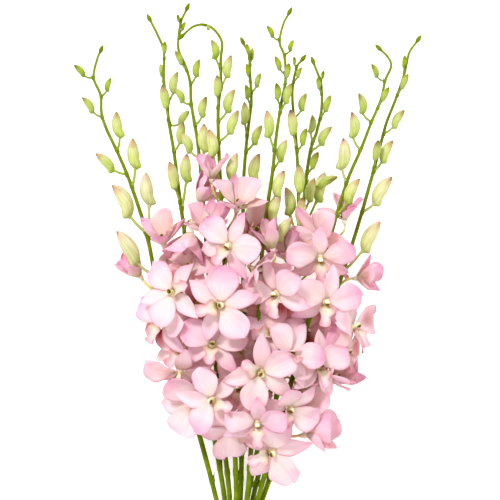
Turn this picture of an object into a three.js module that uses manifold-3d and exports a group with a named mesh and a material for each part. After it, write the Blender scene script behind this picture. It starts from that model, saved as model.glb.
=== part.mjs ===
// A cut bunch of ten dendrobium orchid sprays lying on a table, in millimetres.
// +X is to the right, +Y runs from the cut ends to the tips, +Z is up. The table is z = 0.
import * as THREE from "three";
import Module from "manifold-3d";

const wasm = await Module();
wasm.setup();

// Driving sizes
const STEM_R = 2.25; // radius of a stem from its cut end to the blooms
const TIP_R = 0.85; // radius at the tip of a spray
const STEM_SIDES = 5;
const STALK_R = 1.05; // the thin stalk of a bloom
const BUD_STALK_R = 0.75;
const BUD_FATNESS = 0.235; // greatest radius of a bud by its length
const BUD_SHARE = 0.62; // how much of the way from stem to bud tip the bud itself takes
const TIP_BUD = 8; // length of the bud that ends each spray
const GAP = 0.32; // clearance kept between pieces
const TOUCH = 0.08; // pieces nearer than this are trimmed to the clearance
const BLADE = 0.8; // thickness of sepals, petals and lips
const SEPAL = { length: 30, width: 14.5 };
const PETAL = { length: 29, width: 25 };
const LIP = { length: 19, width: 14 };
const CHIN = 7; // how far the back of a bloom reaches behind its centre
const COLUMN = 5; // how far the column reaches in front of it
const HEART_R = 3; // radius of the ring that sepals, petals and lip grow from
const LEVEL = 1.5; // petals and lip grow from this much in front of its middle, sepals from as much behind
const CORNERS = [33.5, 97.5, 154, 206, 262.5, 326.5]; // degrees, where neighbouring roots meet
const BAND_Y = -211;
const BAND_WIDTH = 7;
const BAND_THICKNESS = 1.5;

// Each spray: the way its stem runs, then its buds as [distance from the tip, x and y of the bud's tip,
// and its length where it isn't told by its distance from the stem].
const SPRAYS = {
  a: {
    route: [[-21.4, -261.2, 6.3], [-17.9, -218.2, 7.8], [-17.9, -204.2, 7.8], [-30, -149, 18],
      [-50, -74, 34], [-76, 17, 42], [-87, 69, 40], [-100, 110, 36], [-111, 137, 32], [-121, 158, 28],
      [-126, 173, 25], [-127, 189, 22], [-133, 204, 19], [-130, 220, 16], [-128, 225, 15]],
    buds: [[22, -150, 215], [40, -118, 204], [58, -143, 187], [90, -113, 175], [112, -131, 139],
      [124, -99, 152, 24], [165, -117, 112, 29], [170, -88, 123, 26], [202, -113, 73, 31]],
  },
  b: {
    route: [[-17.9, -261.2, 2.2], [-15.6, -218.2, 3.9], [-15.6, -204.2, 3.9], [-22, -149, 12],
      [-36, -67, 24], [-53, 56, 32], [-59, 100, 30], [-64, 139, 26], [-69, 169, 22], [-70, 187, 20],
      [-73, 201, 18], [-73, 226, 15], [-78, 240, 13], [-84, 252, 11]],
    buds: [[34, -72, 235], [54, -76, 216], [87, -74, 198], [73, -61, 209], [92, -51, 176],
      [115, -56, 166], [159, -68, 132], [165, -53, 139]],
  },
  c: {
    route: [[-14.5, -261.2, 6.3], [-13.3, -218.2, 7.8], [-13.3, -204.2, 7.8], [-17, -149, 20],
      [-26, -67, 46], [-36, 56, 58], [-40, 113, 58], [-44, 150, 56], [-49, 180, 53], [-50, 198, 51],
      [-54, 213, 49], [-60, 227, 47], [-60, 238, 46], [-58, 251, 45], [-54, 260, 44]],
    buds: [[10, -61, 257], [19, -54, 251], [53, -63, 226], [66, -42, 219], [83, -64, 194],
      [101, -36, 187], [141, -38, 164], [129, -58, 156]],
  },
  d: {
    route: [[-17.9, -261.2, 10.4], [-15.6, -218.2, 11.8], [-15.6, -204.2, 11.8], [-11, -149, 30],
      [-15, -67, 66], [-21, 48, 80], [-24, 108, 78], [-26, 154, 74], [-26, 179, 72], [-24, 195, 70],
      [-24, 218, 68], [-23, 233, 66], [-30, 244, 65], [-39, 248, 64], [-48, 246, 63], [-55, 240, 62]],
    buds: [[19, -34, 243], [64, -32, 235], [81, -15, 222], [97, -27, 205], [110, -12, 193],
      [127, -9, 175], [162, -34, 159], [174, -10, 139]],
  },
  e: {
    route: [[-11, -261.2, 2.2], [-11, -218.2, 3.9], [-11, -204.2, 3.9], [-7, -149, 12], [-6, -67, 24],
      [-5, 31, 32], [-5, 103, 30], [-3, 139, 27], [0, 166, 24], [2, 184, 21], [1, 205, 18], [0, 223, 16],
      [-4, 232, 15]],
    buds: [[12, -2, 233], [17, 3, 230], [32, -2, 216], [42, 10, 208], [53, -3, 198], [79, -4, 183],
      [93, 11, 163], [133, 9, 139], [168, 5, 99], [190, 8, 79]],
  },
  f: {
    route: [[-11, -261.2, 10.4], [-11, -218.2, 11.8], [-11, -204.2, 11.8], [-1, -149, 30], [4, -67, 68],
      [11, 53, 82], [16, 95, 80], [20, 123, 78], [23, 152, 75], [27, 179, 72], [31, 201, 69], [30, 221, 67],
      [26, 233, 65], [29, 248, 63], [33, 256, 62]],
    buds: [[23, 15, 247], [36, 38, 235], [53, 22, 221], [61, 34, 215], [86, 36, 198], [80, 23, 198],
      [118, 15, 175], [135, 32, 150], [167, 30, 124], [189, 27, 102], [202, 37, 84]],
  },
  g: {
    route: [[-7.6, -261.2, 6.3], [-8.8, -218.2, 7.8], [-8.8, -204.2, 7.8], [0, -149, 20], [13, -88, 42],
      [30, -12, 56], [41, 48, 60], [42, 107, 58], [40, 150, 55], [37, 184, 52], [38, 201, 50], [41, 213, 49],
      [44, 217, 48]],
    buds: [[6, 38, 221], [19, 45, 212], [50, 49, 190], [78, 49, 160], [75, 35, 176], [153, 31, 110],
      [134, 43, 129], [159, 45, 101]],
  },
  h: {
    route: [[-4.1, -261.2, 2.2], [-6.4, -218.2, 3.9], [-6.4, -204.2, 3.9], [5, -149, 12], [16, -105, 18],
      [33, -20, 30], [44, 48, 34], [47, 100, 31], [52, 139, 27], [58, 158, 24], [62, 177, 21], [62, 197, 18],
      [59, 207, 16], [56, 215, 15]],
    buds: [[13, 64, 210], [26, 58, 204], [48, 70, 189], [69, 54, 172], [77, 71, 162], [96, 59, 140],
      [104, 76, 119], [130, 56, 118], [142, 65, 123, 24]],
  },
  i: {
    route: [[-4.1, -261.2, 10.4], [-6.4, -218.2, 11.8], [-6.4, -204.2, 11.8], [10, -148, 28],
      [23, -101, 50], [40, -41, 68], [59, 27, 74], [71, 74, 72], [83, 114, 68], [95, 142, 64],
      [104, 165, 60], [112, 184, 57], [116, 201, 55], [121, 213, 54], [118, 221, 53], [113, 226, 52]],
    buds: [[30, 104, 215], [53, 119, 195], [67, 93, 190], [93, 87, 174], [123, 80, 152, 25], [152, 94, 117]],
  },
  j: {
    route: [[-0.7, -261.2, 6.3], [-4.1, -218.2, 7.8], [-4.1, -204.2, 7.8], [15, -147, 18], [32, -98, 32],
      [50, -49, 42], [72, 14, 47], [90, 68, 45], [104, 116, 40], [114, 153, 35], [118, 167, 32],
      [126, 187, 28], [133, 208, 25], [137, 225, 22], [143, 234, 20]],
    buds: [[28, 133, 223], [49, 136, 207], [85, 133, 176], [114, 110, 150], [119, 123, 150],
      [155, 122, 119, 26], [208, 112, 81, 27]],
  },
};

// Each bloom: its spray, its centre, how far its face leans from straight up and toward which side,
// the side that its upper sepal points to, its size, and how far its sepals and petals close.
const BLOOMS = [
  ["d", -24, 10, 104, 8, 200, 15, 1.08, 14],
  ["c", -31, -70, 90, 20, 240, 175, 1.0, 14],
  ["f", 10, -47, 100, 15, 270, -40, 1.05, 14],
  ["i", 65, 13, 88, 25, 300, 82, 1.0, 14],
  ["g", 35, -32, 96, 25, 30, 60, 0.95, 16],
  ["i", 60, 50, 88, 35, 280, 92, 1.0, 14],
  ["h", 59, 69, 72, 40, 200, 120, 0.95, 18],
  ["d", -17, 60, 104, 25, 200, 60, 0.98, 14],
  ["g", 23, 20, 102, 35, 215, 100, 1.0, 14],
  ["a", -73, -5, 70, 50, 190, 60, 1.0, 14],
  ["a", -59, -47, 66, 60, 262, 80, 1.05, 12],
  ["j", 88, -9, 66, 60, 10, 80, 1, 14],
  ["i", 19, -114, 66, 30, 270, 10, 1.08, 14],
  ["j", 50, -100, 52, 80, 12, 90, 1.05, 36],
  ["b", -65, 20, 87, 30, 150, 185, 1.0, 16],
  ["b", -50, 70, 72, 75, 260, 80, 0.95, 34],
  ["c", -32, 72, 84, 60, 95, 90, 0.95, 36],
  ["d", -10, 93, 92, 60, 80, 90, 0.95, 34],
  ["e", 3, 73, 74, 45, 20, 30, 0.92, 16],
  ["b", -73, 63, 56, 65, 100, 120, 0.95, 42],
  ["f", 6, 40, 96, 50, -30, 90, 0.95, 30],
  ["j", 81, -28, 62, 65, -20, 80, 0.95, 14],
  ["j", 72, -54, 54, 65, 42, 120, 0.95, 36],
  ["h", 34, -77, 80, 40, -60, 40, 0.95, 16],
  ["e", -13, -95, 68, 50, 265, 200, 1.06, 14],
  ["a", -47, -73, 58, 30, 215, 190, 1, 14],
  ["c", -31, -24, 84, 12, 90, 80, 0.98, 14],
  ["b", -55, -29, 64, 35, 160, 60, 0.95, 16],
  ["b", -47, 9, 60, 40, 330, 120, 0.92, 24],
  ["f", 20, -15, 80, 30, 100, 30, 0.95, 16],
  ["g", 32, 50, 72, 55, 100, 90, 0.85, 45],
  ["h", 44, -62, 60, 50, -50, 60, 0.92, 32],
  ["i", 59, -42, 80, 30, 0, 90, 0.95, 16],
  ["e", -6, -28, 66, 10, 90, 40, 0.95, 16],
  ["h", 48, -12, 60, 25, 330, 60, 0.92, 18],
  ["f", 7, -90, 86, 35, 270, 90, 0.95, 16],
  ["j", 93, 33, 44, 70, 8, 90, 0.78, 40],
  ["a", -94, 35, 36, 75, 128, 150, 0.78, 58],
  ["d", -32, 118, 80, 75, 95, 90, 0.8, 66],
  ["c", -42, 99, 70, 70, 60, 90, 0.85, 58],
  ["f", 20, 59, 97, 75, 105, 90, 0.85, 62],
  ["i", 81, 83, 66, 75, 95, 90, 0.78, 66],
  ["b", -68, 35, 29, 100, 170, 90, 0.95, 16],
  ["e", -6, 5, 58, 30, 320, 60, 0.92, 16],
  ["e", -29, -58, 30, 105, 230, 90, 0.95, 16],
  ["h", 48, -46, 30, 105, -10, 100, 0.95, 16],
  ["h", 69, 44, 28, 100, 20, 120, 0.9, 18],
  ["d", -9, -59, 72, 25, 250, 110, 0.95, 16],
  ["b", -50, 41, 66, 35, 120, 60, 0.9, 24],
];

// How a sepal, petal or lip may give way to a neighbour: degrees of bend and of swing, least first.
const GIVES = [];
for (const bend of [0, 14, -14, 28, -28, 42, -42]) {
  for (const swing of [0, 9, -9, 18, -18]) GIVES.push([bend, swing]);
}
GIVES.sort((p, q) => Math.abs(p[0]) / 14 + Math.abs(p[1]) / 8 - Math.abs(q[0]) / 14 - Math.abs(q[1]) / 8);

const V = (x, y, z) => new THREE.Vector3(x, y, z);
const rad = THREE.MathUtils.degToRad;
const clamp = THREE.MathUtils.clamp;
const lerp = THREE.MathUtils.lerp;

// A closed solid from points and triangles, turned to face out.
function solid(points, faces) {
  const flat = new Float32Array(points.flatMap((p) => [p.x, p.y, p.z]));
  let volume = 0;
  for (const [i, j, k] of faces) volume += points[i].dot(V().crossVectors(points[j], points[k]));
  const turned = volume < 0 ? faces.map(([i, j, k]) => [i, k, j]) : faces;
  return new wasm.Manifold(
    new wasm.Mesh({ numProp: 3, vertProperties: flat, triVerts: new Uint32Array(turned.flat()) }),
  );
}

// A tube along points, with a radius at each, closed by flat ends or by a point where the radius is 0.
function tube(points, radii, sides, end) {
  const vertices = [];
  const faces = [];
  const rings = [];
  let up = V(0, 0, 1);
  points.forEach((p, i) => {
    const before = points[Math.max(i - 1, 0)];
    const after = points[Math.min(i + 1, points.length - 1)];
    const along = end && i === points.length - 1 ? end : after.clone().sub(before).normalize();
    if (Math.abs(along.dot(up)) > 0.95) up = V(1, 0, 0);
    up = up.clone().addScaledVector(along, -along.dot(up)).normalize();
    const side = V().crossVectors(along, up);
    const ring = [];
    const count = radii[i] > 0 ? sides : 1;
    for (let k = 0; k < count; k++) {
      const t = (2 * Math.PI * k) / sides;
      ring.push(vertices.length);
      vertices.push(
        p.clone().addScaledVector(up, radii[i] * Math.cos(t)).addScaledVector(side, radii[i] * Math.sin(t)),
      );
    }
    rings.push(ring);
  });
  for (let i = 1; i < rings.length; i++) {
    const [a, b] = [rings[i - 1], rings[i]];
    for (let k = 0; k < sides; k++) {
      const m = (k + 1) % sides;
      if (a.length > 1) faces.push([a[k], a[m], b[k % b.length]]);
      if (b.length > 1) faces.push([a[m % a.length], b[m], b[k]]);
    }
  }
  for (const [ring, turn] of [[rings[0], 1], [rings[rings.length - 1], 0]]) {
    for (let k = 2; k < ring.length; k++) {
      faces.push(turn ? [ring[0], ring[k], ring[k - 1]] : [ring[0], ring[k - 1], ring[k]]);
    }
  }
  return solid(vertices, faces);
}

// A smooth line through the route's points, sampled finely.
function smooth(route) {
  const curve = new THREE.CatmullRomCurve3(route.map((p) => V(...p)), false, "catmullrom", 0.5);
  const points = curve.getPoints((route.length - 1) * 24);
  const reach = [0];
  for (let i = 1; i < points.length; i++) reach.push(reach[i - 1] + points[i].distanceTo(points[i - 1]));
  return { points, reach, length: reach[reach.length - 1] };
}

// The point and direction at a distance from the tip of a smooth line.
function station(line, fromTip) {
  const s = clamp(line.length - fromTip, 0, line.length);
  let i = 1;
  while (i < line.points.length - 1 && line.reach[i] < s) i++;
  const t = (s - line.reach[i - 1]) / (line.reach[i] - line.reach[i - 1]);
  const at = line.points[i - 1].clone().lerp(line.points[i], t);
  return { at, along: line.points[i].clone().sub(line.points[i - 1]).normalize() };
}

function stemRadius(fromBase, length) {
  const t = clamp((fromBase - 170) / (length - 170), 0, 1);
  return lerp(STEM_R, TIP_R, t ** 1.1);
}

// A bud: a spindle, fuller toward its base, with its stalk curving out of the stem. It stands above or below
// its stem, whichever is first clear of the stems and of the buds that are there already.
function budOf(spray, [fromTip, x, y, given], index) {
  const { line } = spray;
  const { at, along } = station(line, fromTip);
  const across = Math.hypot(x - at.x, y - at.y);
  const reach = 11 + 0.17 * Math.min(fromTip, 130);
  const lift = Math.sqrt(Math.max(reach * reach - across * across, 9));
  const sign = index % 3 === 1 ? -0.7 : 0.8;
  let best = null;
  for (const more of [0, 3, 6, 9, 12]) {
    for (const way of [sign, -sign]) {
      const tip = V(x, y, at.z + way * (lift + more));
      const length = given ?? BUD_SHARE * Math.min(at.distanceTo(tip), 36);
      const radius = BUD_FATNESS * length + 0.3;
      tip.z = Math.max(tip.z, 0.6 * radius);
      const axis = tip.clone().sub(at).normalize().addScaledVector(along, 0.35).normalize();
      const base = tip.clone().addScaledVector(axis, -length);
      base.z = Math.max(base.z, 0.8 * radius);
      const bud = { at, tip, base, axis: tip.clone().sub(base).normalize(), length, radius };
      const clear = budRoom(bud, spray);
      if (!best || (clear > best.clear + 0.05 && best.clear < 0.8)) best = { ...bud, clear };
    }
  }
  return best;
}

// How far a bud stays from the stems and the other buds.
function budRoom(bud, own) {
  let least = Infinity;
  const profile = [[0, 0.35], [0.15, 0.75], [0.3, 1], [0.5, 0.97], [0.7, 0.8], [0.85, 0.5], [1, 0]];
  for (const [u, share] of profile) {
    const p = bud.base.clone().lerp(bud.tip, u);
    const r = share * bud.radius;
    for (const other of Object.values(sprays)) {
      other.line.points.forEach((q, i) => {
        const stem = stemRadius(other.line.reach[i], other.line.length);
        if (other !== own || u > 0) least = Math.min(least, p.distanceTo(q) - stem - r);
      });
      for (const mate of other.buds) {
        for (const [w, part] of [[0.05, 0.4], [0.3, 1], [0.6, 0.9], [0.9, 0.35]]) {
          const q = mate.base.clone().lerp(mate.tip, w);
          least = Math.min(least, p.distanceTo(q) - r - part * mate.radius);
        }
      }
    }
  }
  return least;
}

// The line and radii of a bud on its stalk, from the stem's middle to the bud's point.
function budShape({ at, base, axis, length, radius }) {
  const point = (u) => base.clone().addScaledVector(axis, u * length);
  const big = length > 13.5;
  const reach = at.distanceTo(base);
  const stalk = BUD_STALK_R + 0.02 * length;
  const points = [at];
  const radii = [stalk];
  if (reach > 7) {
    const control = base.clone().addScaledVector(axis, -0.5 * reach);
    points.push(new THREE.QuadraticBezierCurve3(at, control, base).getPoint(0.6));
    radii.push(stalk);
  }
  points.push(base, point(0.28));
  radii.push(stalk + 0.3, (big ? 0.95 : 1.05) * radius);
  if (big) {
    points.push(point(0.64));
    radii.push(0.86 * radius);
  }
  points.push(point(1));
  radii.push(0);
  return { points, radii };
}

// The same for the bare stalk of a bloom, flat at its end.
function stalkShape({ curve, gap, facing }) {
  const points = curve.getPoints(gap > 14 ? 3 : 2);
  return { points, radii: points.map(() => STALK_R + 0.35), end: facing };
}

// A stem with everything that grows from it as one closed skin. Each sprout leaves by a patch cut in one of
// the stem's long flat sides, the one that looks its way, and goes on four-sided.
function plantSolid(knots, radii, sprouts) {
  const points = [];
  const faces = [];
  const n = STEM_SIDES;
  let up = V(0, 0, 1);
  const stemRings = knots.map((p, i) => {
    if (radii[i] === 0) return [points.push(p) - 1];
    const along = knots[Math.min(i + 1, knots.length - 1)].clone().sub(knots[Math.max(i - 1, 0)]).normalize();
    up = up.clone().addScaledVector(along, -along.dot(up)).normalize();
    const side = V().crossVectors(along, up);
    return Array.from({ length: n }, (_, k) => {
      const t = (2 * Math.PI * k) / n;
      const at = p.clone().addScaledVector(up, radii[i] * Math.cos(t));
      return points.push(at.addScaledVector(side, radii[i] * Math.sin(t))) - 1;
    });
  });
  const holes = new Map();
  for (const sprout of sprouts) {
    const [at, toward] = [sprout.points[0], sprout.points[1]];
    let best = null;
    for (let i = 0; i < knots.length - 3; i++) {
      const span = knots[i + 1].clone().sub(knots[i]);
      const length = span.length();
      const t = clamp(at.clone().sub(knots[i]).dot(span) / (length * length), 0, 1);
      const off = knots[i].clone().addScaledVector(span, t).distanceTo(at);
      if (!best || off < best.off - 1e-6) best = { i, t, off, length, span };
    }
    const { i, length, span } = best;
    const half = Math.min(1.25, 0.2 * length) / length;
    const middle = knots[i].clone().addScaledVector(span, best.t);
    const away = toward.clone().sub(middle);
    away.addScaledVector(span, -away.dot(span) / (length * length)).normalize();
    const sides = Array.from({ length: n }, (_, k) => {
      const [p, q] = [points[stemRings[i][k]], points[stemRings[i][(k + 1) % n]]];
      const out = p.clone().add(q).multiplyScalar(0.5).sub(knots[i]).normalize();
      return { k, match: out.dot(away) };
    }).sort((p, q) => q.match - p.match);
    let spot = null;
    for (const shift of [0, 2.2, -2.2, 4.4, -4.4, 6.6, -6.6]) {
      for (const { k } of sides.slice(0, 2)) {
        const t = clamp(best.t + (shift * half) / 1.25, half * 1.3, 1 - half * 1.3);
        const taken = (holes.get(i * n + k) ?? []).some((hole) => Math.abs(hole.t - t) < 2.3 * half);
        if (!spot && !taken) spot = { k, t };
      }
    }
    const key = i * n + spot.k;
    const m = (spot.k + 1) % n;
    const [a, b] = [stemRings[i], stemRings[i + 1]];
    const patch = [[-1, -1], [1, -1], [1, 1], [-1, 1]].map(([x, y]) => {
      const u = 0.5 + 0.36 * x;
      const w = spot.t + half * y;
      const low = points[a[spot.k]].clone().lerp(points[a[m]], u);
      const high = points[b[spot.k % b.length]].clone().lerp(points[b[m % b.length]], u);
      return { u, w, index: points.push(low.lerp(high, w)) - 1 };
    });
    holes.set(key, [...(holes.get(key) ?? []), { t: spot.t, patch }]);
    let ring = patch.map((corner) => corner.index);
    let across = points[ring[1]].clone().sub(points[ring[0]]).normalize();
    const line = sprout.points;
    for (let j = 1; j < line.length; j++) {
      const ends = j === line.length - 1 && sprout.end;
      const ahead = line[Math.min(j + 1, line.length - 1)];
      const along = ends ? sprout.end : ahead.clone().sub(line[j - 1]).normalize();
      across = across.clone().addScaledVector(along, -along.dot(across)).normalize();
      const lift = V().crossVectors(along, across);
      const r = sprout.radii[j] * Math.SQRT1_2;
      const square = r === 0 ? [[0, 0]] : [[-1, -1], [1, -1], [1, 1], [-1, 1]];
      const next = square.map(([x, y]) => {
        const corner = line[j].clone().addScaledVector(across, r * x).addScaledVector(lift, r * y);
        return points.push(corner) - 1;
      });
      for (let k = 0; k < 4; k++) {
        const m2 = (k + 1) % 4;
        faces.push([ring[k], ring[m2], next[m2 % next.length]]);
        if (next.length > 1) faces.push([ring[k], next[m2], next[k]]);
      }
      ring = next;
    }
    if (ring.length > 1) faces.push([ring[0], ring[1], ring[2]], [ring[0], ring[2], ring[3]]);
  }
  for (let i = 1; i < stemRings.length; i++) {
    const [a, b] = [stemRings[i - 1], stemRings[i]];
    for (let k = 0; k < n; k++) {
      const m = (k + 1) % n;
      const cut = holes.get((i - 1) * n + k);
      if (b.length === 1) {
        faces.push([a[k], a[m], b[0]]);
        continue;
      }
      if (!cut) {
        faces.push([a[k], a[m], b[k]], [a[m], b[m], b[k]]);
        continue;
      }
      const spots = [[0, 0, a[k]], [1, 0, a[m]], [1, 1, b[m]], [0, 1, b[k]]];
      const flat = (list) => list.map(([x, y]) => new THREE.Vector2(x, y));
      const patches = cut.map(({ patch }) => patch.map((corner) => [corner.u, corner.w, corner.index]));
      const all = [...spots, ...patches.flat()];
      for (const three of THREE.ShapeUtils.triangulateShape(flat(spots), patches.map(flat))) {
        const [p, q, r] = three.map((index) => all[index]);
        const turn = (q[0] - p[0]) * (r[1] - p[1]) - (q[1] - p[1]) * (r[0] - p[0]);
        faces.push(turn > 0 ? [p[2], q[2], r[2]] : [p[2], r[2], q[2]]);
      }
    }
  }
  const foot = stemRings[0];
  for (let k = 2; k < n; k++) faces.push([foot[0], foot[k], foot[k - 1]]);
  return solid(points, faces);
}

// Where a bloom stands and how it is turned: centre, facing, upper side and side.
function stand([, x, y, z, lean, toward, upper, size]) {
  const facing = V(
    Math.sin(rad(lean)) * Math.cos(rad(toward)),
    Math.sin(rad(lean)) * Math.sin(rad(toward)),
    Math.cos(rad(lean)),
  );
  const dorsal = V(Math.cos(rad(upper)), Math.sin(rad(upper)), 0);
  dorsal.addScaledVector(facing, -dorsal.dot(facing)).normalize();
  const side = V().crossVectors(dorsal, facing);
  return { centre: V(x, y, z), facing, dorsal, side, size };
}

// Half-width along a sepal, petal or lip, as a share of its greatest.
function outline(kind, u) {
  if (kind === "lip") {
    const knots = [[0, 0.3], [0.36, 1], [0.58, 0.46], [0.82, 0.7], [1, 0]];
    const i = knots.findIndex(([at]) => at >= u - 1e-9);
    if (i <= 0) return knots[0][1];
    const [[u0, w0], [u1, w1]] = [knots[i - 1], knots[i]];
    const t = (u - u0) / (u1 - u0);
    return lerp(w0, w1, i === 4 ? 1 - Math.sqrt(Math.max(1 - t * t, 0)) : t * t * (3 - 2 * t));
  }
  const [root, fullest, round, blunt] = kind === "petal" ? [0.16, 0.56, 2.3, 0.6] : [0.42, 0.42, 1.8, 0.9];
  if (u < fullest) return lerp(root, 1, Math.sin((Math.PI / 2) * (u / fullest)) ** 1.15);
  return Math.max(1 - ((u - fullest) / (1 - fullest)) ** round, 0) ** blunt;
}

// The five sepals and petals and the lip of a bloom, each with its own set and curl.
function tepals(bloom) {
  const close = bloom[8];
  const open = close < 30;
  const curl = open ? -34 : 14;
  const shut = clamp((close - 30) / 30, 0, 1);
  const petal = open
    ? { ...PETAL, set: close + 7, curl: curl + 4, cup: 0.14, twist: 10 }
    : { length: PETAL.length, set: close + 10, curl: curl - 4, cup: 0.5, twist: 0 };
  if (!open) petal.width = lerp(0.75, 0.42, shut) * PETAL.width;
  const lip = open
    ? { ...LIP, set: 52, curl: -48 }
    : { length: LIP.length, set: Math.max(52, close + 12), curl: -8 };
  if (!open) lip.width = lerp(0.8, 0.5, shut) * LIP.width;
  const sepal = { ...SEPAL, set: close - 6, curl: curl - 4, cup: open ? 0.12 : 0.3, twist: open ? 8 : 0 };
  return [
    { kind: "sepal", turn: 0, ...SEPAL, set: close - 2, curl, cup: open ? 0.16 : 0.3, twist: 0 },
    { kind: "petal", turn: 67, ...petal },
    { kind: "sepal", turn: 128, ...sepal },
    { kind: "lip", turn: 180, ...lip, cup: 0.7, twist: 0 },
    { kind: "sepal", turn: 232, ...sepal, twist: -sepal.twist },
    { kind: "petal", turn: 293, ...petal, twist: -petal.twist },
  ];
}

// A point of a sepal, petal or lip: u along it, v from edge to edge.
function tepalPoint(frame, t, give, u, v, grow) {
  const { centre, facing, dorsal, side, size } = frame;
  const [bend, swing] = give;
  const turn = rad(t.turn + swing);
  const start = rad(t.set + 0.5 * bend);
  const turned = rad(t.curl + bend * 0.7) || 1e-6;
  const length = t.length * size + grow;
  const out = HEART_R * size + (length * (Math.sin(start + turned * u) - Math.sin(start))) / turned;
  const level = (t.kind === "sepal" ? -0.5 : 0.5) * LEVEL * size;
  const rise = level + (length * (Math.cos(start) - Math.cos(start + turned * u))) / turned;
  const outward = dorsal.clone().multiplyScalar(Math.cos(turn)).addScaledVector(side, Math.sin(turn));
  const sideways = dorsal.clone().multiplyScalar(-Math.sin(turn)).addScaledVector(side, Math.cos(turn));
  const slope = start + turned * u;
  const face = outward.clone().multiplyScalar(-Math.sin(slope)).addScaledVector(facing, Math.cos(slope));
  const half = 0.5 * t.width * size * outline(t.kind, u) + grow * 0.999;
  const roll = rad(t.twist) * u;
  const edge = sideways.clone().multiplyScalar(Math.cos(roll)).addScaledVector(face, Math.sin(roll));
  const at = centre.clone().addScaledVector(outward, out).addScaledVector(facing, rise);
  at.addScaledVector(edge, half * v).addScaledVector(face, t.cup * half * v * v);
  return { at, face };
}

// The rows of points that a blade is drawn with, beyond its root.
const ROWS = {
  sepal: [[0.4, [-1, 0, 1]], [0.78, [-1, 0, 1]], [1, [0]]],
  petal: [[0.34, [-1, 0, 1]], [0.72, [-1, 0, 1]], [0.97, [-1, 1]]],
  lip: [[0.36, [-1, 0, 1]], [0.58, [-1, 1]], [0.82, [-1, 1]], [1, [0]]],
};

// A ring of six corners between the roots, at a height along the bloom's facing.
function corners(frame, height, radius, shift) {
  const { centre, facing, dorsal, side, size } = frame;
  return CORNERS.map((turn) =>
    centre
      .clone()
      .addScaledVector(facing, height)
      .addScaledVector(dorsal, radius * Math.cos(rad(turn)) + shift * size)
      .addScaledVector(side, radius * Math.sin(rad(turn))),
  );
}

// Adds a sepal, petal or lip to points and faces, from four root corners: front and back, left and right.
function addBlade(points, faces, roots, frame, t, give, grow) {
  const half = BLADE / 2 + grow;
  const [fl, fr, bl, br] = roots;
  const rows = [[[fl, bl], [fr, br]]];
  for (const [u, across] of ROWS[t.kind]) {
    rows.push(
      across.map((v) => {
        const { at, face } = tepalPoint(frame, t, give, u, v, grow);
        if (u === 1) {
          points.push(at);
          return [points.length - 1, points.length - 1];
        }
        points.push(at.clone().addScaledVector(face, half), at.clone().addScaledVector(face, -half));
        return [points.length - 2, points.length - 1];
      }),
    );
  }
  const put = (...face) => {
    if (new Set(face).size === 3) faces.push(face);
  };
  for (let i = 1; i < rows.length; i++) {
    const [a, b] = [rows[i - 1], rows[i]];
    let [p, q] = [0, 0];
    while (p < a.length - 1 || q < b.length - 1) {
      const onA = q === b.length - 1 || (p < a.length - 1 && (p + 1) / a.length <= (q + 1) / b.length);
      const three = onA ? [a[p], a[p + 1], b[q]] : [a[p], b[q + 1], b[q]];
      if (onA) p++;
      else q++;
      put(three[0][0], three[1][0], three[2][0]);
      put(three[0][1], three[2][1], three[1][1]);
    }
    const [[fi, bi], [fo, bo]] = [a[0], b[0]];
    put(fi, fo, bo);
    put(fi, bo, bi);
    const [[gi, ci], [go, co]] = [a[a.length - 1], b[b.length - 1]];
    put(gi, co, go);
    put(gi, ci, co);
  }
  const last = rows[rows.length - 1];
  if (last.length > 1) {
    put(last[0][0], last[last.length - 1][0], last[last.length - 1][1]);
    put(last[0][0], last[last.length - 1][1], last[0][1]);
  }
}

// The rings of corners of a bloom's heart: front, middle, back and the end of the chin.
function rings(frame, grow) {
  const { size } = frame;
  return [
    corners(frame, LEVEL * size + grow, HEART_R * size + grow, 0),
    corners(frame, 0, HEART_R * size + grow, 0),
    corners(frame, -LEVEL * size - grow, HEART_R * size + grow, -0.4),
    corners(frame, -CHIN * size - grow, 1.5 + grow, 0).filter((_, k) => k % 2),
  ];
}

// One sepal, petal or lip alone, closed at its root.
function bladeSolid(frame, k, t, give, grow) {
  const [front, middle, back] = rings(frame, 0);
  const [upper, lower] = t.kind === "sepal" ? [middle, back] : [front, middle];
  const m = (k + 5) % 6;
  const points = [upper[m], upper[k], lower[m], lower[k]];
  const width = points[1].clone().sub(points[0]).normalize();
  points.forEach((p, i) => {
    p.addScaledVector(width, i % 2 ? grow : -grow).addScaledVector(frame.facing, i < 2 ? grow : -grow);
  });
  const faces = [[0, 3, 1], [0, 2, 3]];
  addBlade(points, faces, [0, 1, 2, 3], frame, t, give, grow);
  return solid(points, faces);
}

// A whole bloom: heart, column and chin with the six blades grown out of it.
function bloomSolid(frame, list, gives, grow) {
  const { centre, facing, dorsal, size } = frame;
  const points = rings(frame, grow).flat();
  const faces = [];
  points.push(centre.clone().addScaledVector(facing, COLUMN * size + grow).addScaledVector(dorsal, size));
  const pole = points.length - 1;
  for (let k = 0; k < 6; k++) {
    const m = (k + 5) % 6;
    const at = (ring, corner) => ring * 6 + corner;
    faces.push([at(0, k), at(0, m), pole]);
    const upper = list && list[k].kind === "sepal" ? 1 : 0;
    for (const ring of [0, 1, 2]) {
      if (list && ring === upper) {
        const roots = [at(ring, m), at(ring, k), at(ring + 1, m), at(ring + 1, k)];
        addBlade(points, faces, roots, frame, list[k], gives[k], grow);
        continue;
      }
      if (ring < 2) {
        faces.push([at(ring, m), at(ring, k), at(ring + 1, k)]);
        faces.push([at(ring, m), at(ring + 1, k), at(ring + 1, m)]);
      }
    }
    if (k % 2 === 0) {
      const [before, after] = [18 + ((k / 2 + 2) % 3), 18 + k / 2];
      const corner = at(2, k);
      faces.push([at(2, m), corner, before], [corner, after, before], [corner, at(2, k + 1), after]);
    }
  }
  faces.push([18, 19, 20]);
  return solid(points, faces);
}

function largest(shape) {
  return shape.decompose().reduce((p, q) => (q.volume() > p.volume() ? q : p));
}

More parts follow.
